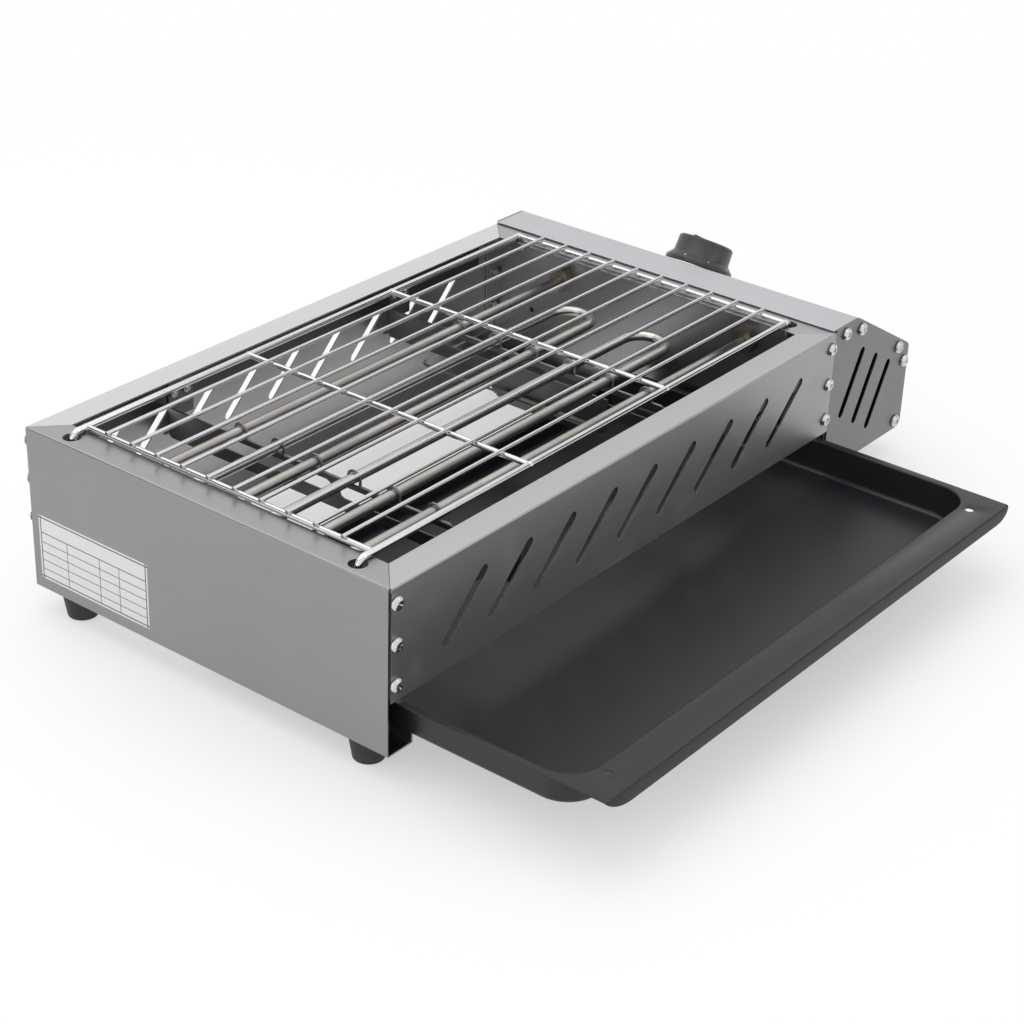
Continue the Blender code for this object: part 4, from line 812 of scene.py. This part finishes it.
class StageSettings(bpy.types.PropertyGroup):
    """Camera, lamps and floor."""

    lens: FloatProperty(name="Lens", description="Focal length for a 36 mm frame", default=82.70)
    key: FloatProperty(
        name="Overhead lamp", description="Power of the overhead lamp", unit="POWER", default=11.0
    )
    fill: FloatProperty(
        name="Side lamps", description="Power of the side lamps", unit="POWER", default=4.0
    )
    ambient: FloatProperty(name="Ambient", description="Strength of the surroundings", default=0.77)
    card_size: length("Card", "Side of a dark card", 1.30)
    card_reach: length("Card reach", "From the grill to a card", 2.50)


class GRILL_OT_stage(bpy.types.Operator):
    """Sets the pale floor, the soft lamps and the camera"""

    bl_idname = "grill.stage"
    bl_label = "Stage"

    def execute(self, context):
        settings = context.scene.grill_stage
        camera = bpy.data.cameras.new("camera")
        camera.lens = settings.lens
        camera.sensor_width = 36.0
        camera.clip_start = 0.05
        camera.clip_end = 50
        right, ahead = Vector(CAMERA_RIGHT).normalized(), Vector(CAMERA_AHEAD).normalized()
        turn = Matrix((right, right.cross(ahead).normalized(), -ahead)).transposed()
        holder = linked("camera", camera)
        holder.matrix_world = Matrix.Translation(spot(*CAMERA_PLACE)) @ turn.to_4x4()
        context.scene.camera = holder

        bpy.ops.mesh.primitive_plane_add(size=12, location=(0, 0, -0.0002))
        floor = context.object
        floor.name = "floor"
        floor.data.materials.append(self.floor_finish())
        self.surroundings(context.scene, settings.ambient)
        for name, place, size, power in (
            ("overhead_lamp", (-0.15, 0.40, 1.7), 1.95, settings.key),
            ("left_lamp", (-1.7, 0.6, 0.9), 1.2, settings.fill),
            ("front_lamp", (0.9, -1.6, 1.3), 1.2, settings.fill),
        ):
            lamp = bpy.data.lights.new(name, "AREA")
            lamp.energy = power
            lamp.size = size
            made = linked(name, lamp)
            made.location = place
            made.rotation_euler = (-Vector(place)).to_track_quat("-Z", "Y").to_euler()
        self.cards(settings)
        context.scene.view_settings.view_transform = "Standard"
        return {"FINISHED"}

    def cards(self, settings):
        """Dark cards that only bright metal sees, for the core lines of the wires."""
        dull = Finish("card", (0.03, 0.03, 0.03), 0.9).material
        for name, side in (("front_card", 1), ("left_card", -1)):
            place = Vector((0.697 * side, -0.536 * side, 0.476))
            bpy.ops.mesh.primitive_plane_add(size=settings.card_size, location=place * settings.card_reach)
            card = bpy.context.object
            card.name = name
            card.rotation_euler = place.to_track_quat("Z", "Y").to_euler()
            card.data.materials.append(dull)
            card.visible_camera = card.visible_diffuse = card.visible_shadow = False

    def floor_finish(self):
        """Pale floor that the camera and the metal see as white, with the shadow kept. Its glow fades towards
        the middle, a painted shadow that deepens the floor's shade under the grill.
        """
        nodes = Finish("floor", (0.95, 0.95, 0.95), 0.6)
        glow = nodes.node("ShaderNodeEmission", {"Color": (1, 1, 1, 1), "Strength": 1.0})
        x, y, _ = nodes.axes()
        radius = (x * x + y * y) ** 0.5
        # Painted shadow: the glow's share is least under the grill and full far out, so the floor's shade
        # under the grill shows deeper than its lighting alone makes it.
        lift = radius.over(0.05, 0.30) * 0.16 + radius.over(0.45, 1.10) * 0.48 + 0.36
        mixed = nodes.node("ShaderNodeMixShader", {0: nodes.seen() * lift, 1: nodes.shader, 2: glow})
        nodes.give(nodes.tree.nodes["Material Output"].inputs["Surface"], mixed)
        return nodes.material

    def surroundings(self, scene, ambient):
        """White where the camera and the metal look, and a plain level of light elsewhere."""
        world = bpy.data.worlds.new("surroundings")
        world.use_nodes = True
        scene.world = world
        nodes = Nodes(world.node_tree)
        glow = nodes.tree.nodes["Background"].inputs
        nodes.give(glow["Color"], (1, 1, 1, 1))
        nodes.give(glow["Strength"], nodes.seen() * (1.0 - ambient) + ambient)


class GRILL_OT_sheets(bpy.types.Operator):
    """Finishes the folded walls, the control box and its floor"""

    bl_idname = "grill.sheets"
    bl_label = "Folded sheets"

    def execute(self, context):
        s = context.scene.grill_sheets
        end, side, cover, plate, inner = [
            tuple(colour)
            for colour in (s.end_colour, s.side_colour, s.cover_colour, s.plate_colour, s.inner_colour)
        ]
        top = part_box("front_panel")[1].z
        half_sheet = 0.0005
        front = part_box("front_panel")[0].y + half_sheet
        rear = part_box("rear_panel")[1].y - half_sheet
        # In the steel rows, the last two numbers after the brushing axis are the flange's top level and its
        # painted-highlight share.
        for node, slot, *looks in (
            ("left_end_panel", "end_steel", "end_steel", end, 0.34, "Y", top, 1.16),
            ("front_panel", "side_steel", "side_steel", side, 0.47, "X", top, 1.18, front),
            # Painted light: the rear wall's steel is 1.25 of the long walls' colour, a lighter copy for the
            # brighter reflection on its inner face; its flange share is a painted highlight too.
            ("rear_panel", "side_steel", "rear_steel", shaded(side, 1.25), 0.30, "X", top, 1.32, rear),
            ("control_cover", "cover_steel", "cover_steel", cover, 0.33, "Y"),
            ("control_side_front", "plate_steel", "plate_steel", plate, 0.40, "X"),
            ("control_side_rear", "plate_steel", "rear_plate_steel", plate, 0.40, "X"),
            ("control_base", "inner_steel"),
            ("divider_panel", "inner_steel", "divider_steel", side, 0.32, "Y"),
        ):
            finish = brushed_steel(*looks) if looks else used_inner_steel(slot, inner)
            settle(refined(node, finish, s.edge), "housing", (node,))
        # The walls' inner strips are 0.45 of the inner sheet's colour: partly their own darker steel and
        # partly painted shade under the flanges.
        lining_and_shade = used_inner_steel("lining_steel", shaded(inner, 0.45))
        for node in ("front_panel", "rear_panel"):
            settle(self.stiffener(s, node, lining_and_shade), "housing", (node,))
        return {"FINISHED"}

    def stiffener(self, s, node, looks):
        """Thin strip on a long wall's inner face, from under the flange down over the slots' tops."""
        front, rear = [corner.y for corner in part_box("support_strip_1")]
        near, far = s.edge / 8, s.stiffener_sheet
        low = Vector((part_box("left_end_panel")[1].x, 0, CORNER.z + s.stiffener_foot))
        high = Vector((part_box("divider_panel")[0].x, 0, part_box(node)[1].z - s.stiffener_gap))
        low.y, high.y = (front - far, front - near) if node == "front_panel" else (rear + near, rear + far)
        shape = brick(Matrix.Translation((low + high) / 2), high - low, s.stiffener_corner, 4, axis=1)
        return shaped(f"{node}_stiffener", shape, looks, 30)


class GRILL_OT_rack(bpy.types.Operator):
    """Makes the rack of bent wires, cross wires, thin rods and welds"""

    bl_idname = "grill.rack"
    bl_label = "Rack"

    def execute(self, context):
        s = context.scene.grill_rack
        chrome = rack_chrome()
        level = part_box("grill_rack")[1].z - CORNER.z - 2 * s.rod_radius + s.weld_sink - s.cross_radius
        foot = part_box("grill_rack")[0].z - CORNER.z
        middle = BODY_WIDTH / 2
        tube = bent_tube()
        parts = []
        near, far = s.hole_inset, BODY_LENGTH - s.hole_inset
        values = {"Bend": s.bend, "Bend Points": 8, "Radius": s.outer_radius, "Sides": s.sides + 4}
        for face, y in (("front", middle - s.half_width), ("rear", middle + s.half_width)):
            path = [spot(x, y, z) for x, z in ((near, foot), (near, level), (far, level), (far, foot))]
            parts.append(tube.grow(f"rack_outer_wire_{face}", path_base(path), chrome, values))
        wires = straight_wires()
        span = s.cross_last - s.cross_first
        step = span / (s.cross_count - 1)
        values = {
            "Count": s.cross_count,
            "Start": spot(s.cross_first, middle - s.half_width, level),
            "Spacing": (step, 0, 0),
            "Reach": (0, 2 * s.half_width, 0),
            "Radius": s.cross_radius,
            "Sides": s.sides,
        }
        parts.append(wires.grow("rack_cross_wires", empty_base(), chrome, values))
        rod_level = level + s.cross_radius + s.rod_radius - s.weld_sink
        first_rod = middle - s.rod_pitch * (s.rod_count - 1) / 2
        values = {
            "Count": s.rod_count,
            "Start": spot(s.cross_first - s.rod_end, first_rod, rod_level),
            "Spacing": (0, s.rod_pitch, 0),
            "Reach": (span + 2 * s.rod_end, 0, 0),
            "Radius": s.rod_radius,
            "Sides": s.sides,
        }
        parts.append(wires.grow("rack_rods", empty_base(), chrome, values))
        rod_weld = shaded((1.15, 1.15, 0.45), s.rod_radius)
        wire_weld = shaded((1.25, 1.25, 1.02), s.outer_radius)
        beads = weld_beads()
        for name, rows, start, row_step, size in (
            ("rack_rod_welds", s.rod_count, (first_rod, rod_level - s.rod_radius), s.rod_pitch, rod_weld),
            ("rack_wire_welds", 2, (middle - s.half_width, level), 2 * s.half_width, wire_weld),
        ):
            values = {"Columns": s.cross_count, "Rows": rows, "Seed": rows, "Size": size}
            values["Start"] = spot(s.cross_first, *start)
            values["Column Step"], values["Row Step"] = (step, 0, 0), (0, row_step, 0)
            parts.append(beads.grow(name, empty_base(), chrome, values, crease=80))
        for part in parts:
            settle(part, "rack", ("grill_rack",))
        return {"FINISHED"}


class GRILL_OT_element(bpy.types.Operator):
    """Makes the looped element with its clamp nuts and pins"""

    bl_idname = "grill.element"
    bl_label = "Element"

    def execute(self, context):
        s = context.scene.grill_element
        low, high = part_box("heating_element")
        level = (low.z + high.z) / 2
        end = high.x
        first = low.y + s.radius
        path = [(end, first, level)]
        for run in range(s.runs - 1):
            x = CORNER.x + (s.near if run % 2 == 0 else s.far)
            path += [(x, first + s.pitch * run, level), (x, first + s.pitch * (run + 1), level)]
        path.append((end, first + s.pitch * (s.runs - 1), level))
        bend = s.pitch / 2 - MERGE * 10
        values = {"Bend": bend, "Bend Points": s.turn_points, "Radius": s.radius, "Sides": s.sides}
        made = bent_tube().grow("element_tube", path_base(path), sheath_steel(), values)
        settle(made, "housing", ("heating_element",))
        brass = plain_metal("brass", (0.30, 0.27, 0.21), 0.34)
        pins = zinc_plate()
        for index in (1, 2):
            node = f"element_fitting_{index}"
            settle(self.fitting(node, s.radius, brass), "housing", (node,))
            dress(f"terminal_pin_{index}", pins)
        return {"FINISHED"}

    def fitting(self, node, radius, brass):
        """Two hexagon nuts on a collar, with eased corners, round the tube."""
        low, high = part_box(node)
        centre = (low + high) / 2
        half = (high.y - low.y) / 2
        bore, nut, collar = radius + 0.0003, 0.006, 0.0054
        shape = bmesh.new()
        for start, end in ((low.x, low.x + nut), (high.x - nut, high.x)):
            rings = []
            for x, limit in ((start, bore), (start, half * 0.98), (end, half * 0.98), (end, bore)):
                rings.append([(x, centre.y + a, centre.z + b) for a, b in hexagon(half, limit)])
            lofted(shape, rings + rings[:1], closed_ends=False)
        middle = Matrix.Translation(centre) @ Matrix.Rotation(QUARTER, 4, "Y")
        reach = (high.x - low.x) / 2 - 0.005
        profile = [(bore, -reach), (bore, reach), (collar, reach), (collar, -reach)]
        turned(shape, profile, 24, middle, ring=True)
        return shaped(f"{node}_nuts", shape, brass, 25)


class GRILL_OT_supports(bpy.types.Operator):
    """Finishes the strips, holders, bulb and bracket under the element"""

    bl_idname = "grill.supports"
    bl_label = "Supports"

    def execute(self, context):
        edge = context.scene.grill_sheets.edge
        colour = tuple(context.scene.grill_sheets.inner_colour)
        strip = used_inner_steel("strip_steel", shaded(colour, 0.65))
        strap = used_inner_steel("strap_steel", shaded(colour, 1.25))
        for index in (1, 2):
            for node, finish in ((f"support_strip_{index}", strip), (f"element_holder_{index}", strap)):
                settle(refined(node, finish, edge), "housing", (node,))
        settle(refined("bulb_bracket", strip, edge), "housing", ("bulb_bracket",))
        bulb = refined("thermostat_bulb", plain_metal("bulb_copper", (0.34, 0.32, 0.30), 0.30), edge / 4)
        settle(bulb, "housing", ("thermostat_bulb",))
        return {"FINISHED"}


class GRILL_OT_tray(bpy.types.Operator):
    """Makes the pressed drip tray with its rim, ledge and lip"""

    bl_idname = "grill.tray"
    bl_label = "Drip tray"

    def execute(self, context):
        s = context.scene.grill_tray
        low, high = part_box("drip_tray")
        shape = bmesh.new()
        pan = lofted(shape, self.pan_rings(s, low, high), closed_ends=False)
        shape.faces.new(pan[-1])
        lip = self.lip_columns(s, low, high)
        rows = [[shape.verts.new(point) for point in column] for column in lip]
        for first, last in zip(rows, rows[1:]):
            for index in range(len(first) - 1):
                shape.faces.new((first[index], last[index], last[index + 1], first[index + 1]))
        radius = s.corner + s.rim / 2
        edge = [lip[-1][0]]
        for x, start in ((high.x - radius, 0.0), (low.x + radius, QUARTER)):
            edge += [(*point, high.z) for point in arc(x, high.y - radius, radius, start)]
        self.outline(shape, edge + [lip[0][0]])
        for x in (low.x + s.hole_end, high.x - s.hole_end):
            ring = arc(x, low.y + s.hole_front, s.hole, 0.0, math.tau, 32)
            self.outline(shape, [(*point, high.z) for point in ring])
        bmesh.ops.remove_doubles(shape, verts=shape.verts, dist=MERGE)
        borders = [edge for edge in shape.edges if len(edge.link_faces) < 2]
        level = [edge for edge in borders if all(abs(vert.co.z - high.z) < MERGE for vert in edge.verts)]
        bmesh.ops.triangle_fill(shape, use_beauty=True, edges=level, normal=(0, 0, 1))
        tray = shaped("tray_shell", shape, tray_coating(), 30)
        if sum(face.normal.z * face.area for face in tray.data.polygons) < 0:
            tray.data.flip_normals()
        sheet = tray.modifiers.new("sheet", "SOLIDIFY")
        sheet.thickness = s.sheet
        sheet.offset = -1
        sheet.use_even_offset = True
        ease_edges(tray, s.edge, 60)
        settle(finished(tray, 30), "tray", ("drip_tray",))
        return {"FINISHED"}

    def outline(self, shape, points):
        """Edges through a row of points."""
        verts = [shape.verts.new(point) for point in points]
        for pair in zip(verts, verts[1:]):
            shape.edges.new(pair)

    def lip_columns(self, s, low, high):
        """The folded lip from end to end; each column runs down from the flat ledge."""
        start = low.y + s.fold + s.lip_bend
        corner = (low.y + s.fold, high.z, s.lip_bend)
        profile = bent([(start, high.z, 0), corner, (low.y, high.z - s.lip, 0)], 5)
        points = [Vector(point) for point in profile]
        marks = [0.0]
        for first, last in zip(points, points[1:]):
            marks.append(marks[-1] + (last - first).length)
        columns = []
        turns = [(1 - x, y) for x, y in arc(0, 0, 1, 0.0)]
        ends = [(low.x + s.lip_end * along, share) for along, share in turns]
        ends += [(high.x + low.x - x, share) for x, share in reversed(ends)]
        for x, share in ends:
            column = []
            for place in (mark * share for mark in marks):
                index = next(i for i in range(1, len(marks)) if place <= marks[i] + MERGE)
                part = (place - marks[index - 1]) / (marks[index] - marks[index - 1])
                y, z = points[index - 1].lerp(points[index], part)
                column.append((x, y, z))
            columns.append(column)
        return columns

    def pan_rings(self, s, low, high):
        """Rings of the pan's upper face, from the rim in and down to the flat bottom."""
        bottom = low.z + s.sheet
        wall = [(high.z, s.sheet - s.brim_radius - 0.0004)]
        for x, y in arc(0, 0, s.brim_radius, 0.0, steps=6):
            wall.append((high.z - s.brim_radius + x, s.sheet - s.brim_radius + y))
        for x, y in arc(0, 0, s.foot_radius, 0.0, steps=6):
            wall.append((bottom + s.foot_radius - y, s.sheet + s.lean + s.foot_radius - x))
        left, right = low.x + s.rim, high.x - s.rim
        front, rear = low.y + s.ledge, high.y - s.rim
        rings = []
        for height, inset in wall:
            corners = (left + inset, front + inset), (right - inset, rear - inset)
            rings.append([(*point, height) for point in rounded(*corners, s.corner - inset * 0.5, 12)])
        return rings


class GRILL_OT_knob(bpy.types.Operator):
    """Makes the knob with its numbers and finishes the dial ring and the shaft"""

    bl_idname = "grill.knob"
    bl_label = "Knob"

    def execute(self, context):
        s = context.scene.grill_knob
        joint = next(item for item in frame["record"]["behaviour"]["joints"] if item["name"] == "knob_turn")
        axis = Vector(joint["axis"]).normalized()
        place = Matrix.Translation(joint["pos_m"]) @ Matrix.Rotation(math.atan2(axis.x, axis.z), 4, "Y")
        hollow, hub, bore = 0.0150, 0.0058, 0.0033
        roof, bore_end = 0.0100, 0.0148
        dish = s.top - 0.0004
        profile = [
            (0, dish, 0),
            (s.crown - 0.004, dish, 0.0005),
            (s.crown, s.top, 0.0003),
            (s.radius, s.top - 0.0012, 0.0007),
            (s.radius + 0.0004, s.neck + 0.0012, 0),
            (s.radius + 0.0012, s.neck, 0.0008),
            (s.skirt - 0.0006, s.lift + 0.0034, 0.0003),
            (s.skirt, s.lift + 0.0026, 0.0004),
            (s.skirt, s.lift, 0.0003),
            (s.skirt - 0.0015, s.lift, 0),
            (hollow, s.lift, 0),
            (hollow, roof, 0),
            (hub, roof, 0),
            (hub, s.lift, 0),
            (bore, s.lift, 0),
            (bore, bore_end, 0),
            (0, bore_end, 0),
        ]
        shape = bmesh.new()
        turned(shape, bent(profile, 4), 96, place)
        black = moulded_black("knob_black", tuple(s.colour), 0.34)
        settle(shaped("knob_grip", shape, black, 32), "knob", ("knob",))
        settle(self.pointer(s, place, black), "knob", ("knob",))
        settle(self.numbers(s, place), "knob", ("knob",))
        ring = brushed_steel("ring_steel", (0.62, 0.62, 0.63), 0.24, "Y")
        settle(self.dial_ring(place, ring), "housing", ("dial_ring",))
        dress("thermostat_shaft", zinc_plate())
        return {"FINISHED"}

    def pointer(self, s, place, looks):
        """Raised ridge on the crown that shows the setting."""
        ridge, sunk, rounding = (0.0118, 0.0026, 0.0028), 0.0005, 0.0005
        centre = Matrix.Translation((-s.crown + 0.0062, 0, s.top - sunk))
        shape = brick(place @ centre, ridge, rounding, 3)
        return shaped("knob_pointer", shape, looks, 60)

    def dial_ring(self, place, looks):
        """Thin bright ring with a rolled outer edge on the slope."""
        radius, inner, foot, face = 0.0270, 0.0070, 0.0003, 0.0011
        profile = [
            (inner, foot),
            (inner, face),
            (radius - 0.0022, face),
            (radius - 0.0014, face + 0.0003),
            (radius - 0.0006, face + 0.0001),
            (radius, foot),
            (inner, foot),
        ]
        shape = bmesh.new()
        turned(shape, profile, 96, place)
        return shaped("dial_ring_plate", shape, looks, 40)

    def numbers(self, s, place):
        """The digits 0 to 6, printed round the skirt."""
        shape = bmesh.new()
        shoulder, clear = s.lift + 0.0034, 0.00005
        rise = math.atan2(s.neck - shoulder, s.skirt - s.radius - 0.0012)
        middle = (s.skirt + s.radius) / 2 + 0.0002
        height = (s.neck + shoulder) / 2 + clear
        for index in range(7):
            turn = math.radians(180 + 45 * index)
            spoke = Matrix.Rotation(turn, 4, "Z") @ Matrix.Translation((middle, 0, height))
            tilt = Matrix.Rotation(rise, 4, "Y") @ Matrix.Rotation(QUARTER, 4, "Z")
            curve = bpy.data.curves.new("digit", "FONT")
            curve.body = str(index)
            curve.size = s.digit
            curve.extrude = 0.00006
            curve.align_x = curve.align_y = "CENTER"
            digit = linked("digit", curve)
            mesh = evaluated(digit)
            mesh.transform(place @ spoke @ tilt)
            shape.from_mesh(mesh)
            bpy.data.objects.remove(digit)
        return shaped("knob_numbers", shape, print_white(), 20)


class GRILL_OT_screws(bpy.types.Operator):
    """Sets a cross-recessed pan head on every panel screw and the nuts on the tabs"""

    bl_idname = "grill.screws"
    bl_label = "Screws"

    def execute(self, context):
        s = context.scene.grill_screws
        zinc = zinc_plate()
        head, nut = self.head(s, zinc), self.nut(s, zinc)
        layout = heads_on_points()
        for face, side in (("front", -1), ("rear", 1)):
            nodes = [f"screw_{face}_{index:02d}" for index in range(1, 12)]
            places = []
            for node in nodes:
                low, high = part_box(node)
                seat = low.y + s.height if side < 0 else high.y - s.height
                places.append(((low.x + high.x) / 2, seat, (low.z + high.z) / 2))
            base = points_base(places, [(0, side, 0)] * len(places))
            values = {"Head": head, "Scale": 1.0, "Seed": s.seed + side}
            settle(layout.grow(f"panel_screws_{face}", base, zinc, values), "housing", nodes)
        places, facings = [], []
        for node in ("support_strip_1", "support_strip_2"):
            low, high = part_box(node)
            for along in (s.nut_first, s.nut_last):
                for y, facing in ((high.y - s.nut_sheet, -1), (low.y + s.nut_sheet, 1)):
                    places.append((low.x + along, y, CORNER.z + s.nut_level))
                    facings.append((0, facing, 0))
        values = {"Head": nut, "Scale": 1.0, "Seed": s.seed}
        settle(layout.grow("tab_nuts", points_base(places, facings), zinc, values), "housing", ())
        for index in range(1, 5):
            dress(f"foot_bolt_{index}", zinc)
        for used in (head, nut):
            bpy.data.objects.remove(used)
        return {"FINISHED"}

    def nut(self, s, zinc):
        """Chamfered hexagon nut with the rounded end of its bolt, standing on z = 0."""
        shape = bmesh.new()
        rings = []
        for height, share in ((0, 0.95), (0.08, 1.0), (0.84, 1.0), (1.0, 0.90)):
            rings.append([(a, b, s.nut_height * height) for a, b in hexagon(s.nut, s.nut * share)])
        lofted(shape, rings)
        bolt, end = s.nut * 0.5, s.nut_height * 1.5
        profile = [(0, end), (bolt * 0.75, end), (bolt, end - bolt * 0.25), (bolt, 0.001), (0, 0.001)]
        turned(shape, profile, 20)
        return shaped("tab_nut", shape, zinc, 25)

    def head(self, s, zinc):
        """Pan head with a short shank and a tapered cross recess, standing on z = 0."""
        shank, foot = 0.44, -s.height * 1.8
        profile = [
            (0, s.height, 0),
            (s.radius * 0.55, s.height * 0.965, s.radius * 0.25),
            (s.radius * 0.86, s.height * 0.74, s.radius * 0.22),
            (s.radius, s.height * 0.38, s.radius * 0.12),
            (s.radius, 0.00008, 0),
            (s.radius * 0.96, 0, 0),
            (s.radius * shank, 0, 0),
            (s.radius * shank, foot, 0),
            (0, foot, 0),
        ]
        shape = bmesh.new()
        turned(shape, bent(profile, 3), 28)
        made = shaped("screw_head", shape, zinc)
        cutter = bmesh.new()
        for turn in (0, QUARTER):
            rings = []
            for height, share in ((s.height * 1.2, 1.1), (s.height * 0.25, 0.45)):
                long, wide = s.recess * share, s.blade / 2 * (1 + share) / 2
                corners = ((-long, -wide), (long, -wide), (long, wide), (-long, wide))
                spin = Matrix.Rotation(turn, 3, "Z")
                rings.append([spin @ Vector((x, y, height)) for x, y in corners])
            lofted(cutter, rings)
        tool = shaped("recess", cutter, zinc)
        cut = made.modifiers.new("recess", "BOOLEAN")
        cut.operation = "DIFFERENCE"
        cut.solver = "EXACT"
        cut.use_self = True
        cut.object = tool
        finished(made, 35)
        bpy.data.objects.remove(tool)
        return made


class GRILL_OT_feet(bpy.types.Operator):
    """Makes the four tapered rubber feet"""

    bl_idname = "grill.feet"
    bl_label = "Feet"

    def execute(self, context):
        rubber = foot_rubber()
        bolt, hollow, toe, roof = 0.0024, 0.0050, 0.0092, 0.0070
        for index in range(1, 5):
            node = f"foot_{index}"
            low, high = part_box(node)
            top, wide = high.z, (high.x - low.x) / 2
            profile = [
                (bolt, top, 0),
                (wide, top, 0.0004),
                (wide, top - 0.0014, 0.0004),
                (toe, low.z + 0.0002, 0.0009),
                (hollow, low.z, 0.0004),
                (hollow, low.z + roof, 0.0004),
                (bolt, low.z + roof, 0),
            ]
            shape = bmesh.new()
            place = Matrix.Translation(((low.x + high.x) / 2, (low.y + high.y) / 2, 0))
            turned(shape, bent(profile, 4), 56, place, ring=True)
            settle(shaped(f"{node}_rubber", shape, rubber, 40), "housing", (node,))
        return {"FINISHED"}


class GRILL_OT_inner(bpy.types.Operator):
    """Finishes the thermostat, the terminal block, the leads and the gland"""

    bl_idname = "grill.inner"
    bl_label = "Inner pieces"

    def execute(self, context):
        ceramic, sleeve = glazed_ceramic(), woven_sleeve()
        for node in ("thermostat_body", "terminal_block"):
            dress(node, ceramic)
        for index in (1, 2, 3):
            dress(f"lead_{index}", sleeve)
        low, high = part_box("cable_gland")
        middle = (low + high) / 2
        wall = CORNER.y + BODY_WIDTH
        place = Matrix.Translation((middle.x, wall, middle.z)) @ Matrix.Rotation(-QUARTER, 4, "X")
        tail, mouth = low.y - wall, high.y - wall
        bore, neck, flange, waist, clip = 0.0034, 0.0066, 0.0095, 0.0060, 0.0085
        outer_face, inner_face = 0.0003, -0.0013
        profile = [
            (bore, tail),
            (bore, mouth - 0.0006),
            (bore + 0.0006, mouth),
            (neck - 0.0006, mouth),
            (neck, mouth - 0.0010),
            (neck, 0.0034),
            (flange - 0.0001, 0.0032),
            (flange, outer_face),
            (waist, outer_face),
            (waist, inner_face),
            (clip, inner_face),
            (clip, tail),
        ]
        shape = bmesh.new()
        turned(shape, profile, 64, place, ring=True)
        gland = shaped("gland_body", shape, moulded_black("gland_black", (0.028, 0.028, 0.030), 0.42), 32)
        settle(gland, "housing", ("cable_gland",))
        return {"FINISHED"}


class GRILL_OT_label(bpy.types.Operator):
    """Puts the bare ruled sticker on the end wall"""

    bl_idname = "grill.label"
    bl_label = "Sticker"

    def execute(self, context):
        s = context.scene.grill_label
        low, high = spot(0, *s.low), spot(0, *s.high)
        outline = rounded(low.yz, high.yz, 0.0012, 6)
        shape = bmesh.new()
        lofted(shape, [[(low.x + level, y, z) for y, z in outline] for level in (0.00002, -s.sheet)])
        settle(shaped("end_sticker", shape, ruled_paper(low, high)), "housing", ())
        return {"FINISHED"}


GROUPS = {
    "grill_sheets": SheetSettings,
    "grill_rack": RackSettings,
    "grill_element": ElementSettings,
    "grill_tray": TraySettings,
    "grill_knob": KnobSettings,
    "grill_screws": ScrewSettings,
    "grill_label": LabelSettings,
    "grill_stage": StageSettings,
}

OPERATORS = (
    GRILL_OT_stage,
    GRILL_OT_sheets,
    GRILL_OT_rack,
    GRILL_OT_element,
    GRILL_OT_supports,
    GRILL_OT_tray,
    GRILL_OT_knob,
    GRILL_OT_screws,
    GRILL_OT_feet,
    GRILL_OT_inner,
    GRILL_OT_label,
)


class GRILL_PT_panel(bpy.types.Panel):
    """Lists the grill's pieces and their sizes"""

    bl_idname = "GRILL_PT_panel"
    bl_label = "Table-top electric grill"
    bl_space_type = "VIEW_3D"
    bl_region_type = "UI"
    bl_category = "Grill"

    def draw(self, context):
        for operator in OPERATORS:
            self.layout.operator(operator.bl_idname)
        for name, group in GROUPS.items():
            box = self.layout.box()
            for field in group.__annotations__:
                box.prop(getattr(context.scene, name), field)


def register():
    for group in GROUPS.values():
        bpy.utils.register_class(group)
    for operator in OPERATORS:
        bpy.utils.register_class(operator)
    bpy.utils.register_class(GRILL_PT_panel)
    for name, group in GROUPS.items():
        setattr(bpy.types.Scene, name, PointerProperty(type=group))


def unregister():
    for name in GROUPS:
        delattr(bpy.types.Scene, name)
    bpy.utils.unregister_class(GRILL_PT_panel)
    for operator in reversed(OPERATORS):
        bpy.utils.unregister_class(operator)
    for group in reversed(list(GROUPS.values())):
        bpy.utils.unregister_class(group)


def main():
    register()
    bpy.ops.grill.stage()
    bpy.ops.grill.sheets()
    bpy.ops.grill.rack()
    bpy.ops.grill.element()
    bpy.ops.grill.supports()
    bpy.ops.grill.tray()
    bpy.ops.grill.knob()
    bpy.ops.grill.screws()
    bpy.ops.grill.feet()
    bpy.ops.grill.inner()
    bpy.ops.grill.label()


if __name__ == "__main__":
    main()
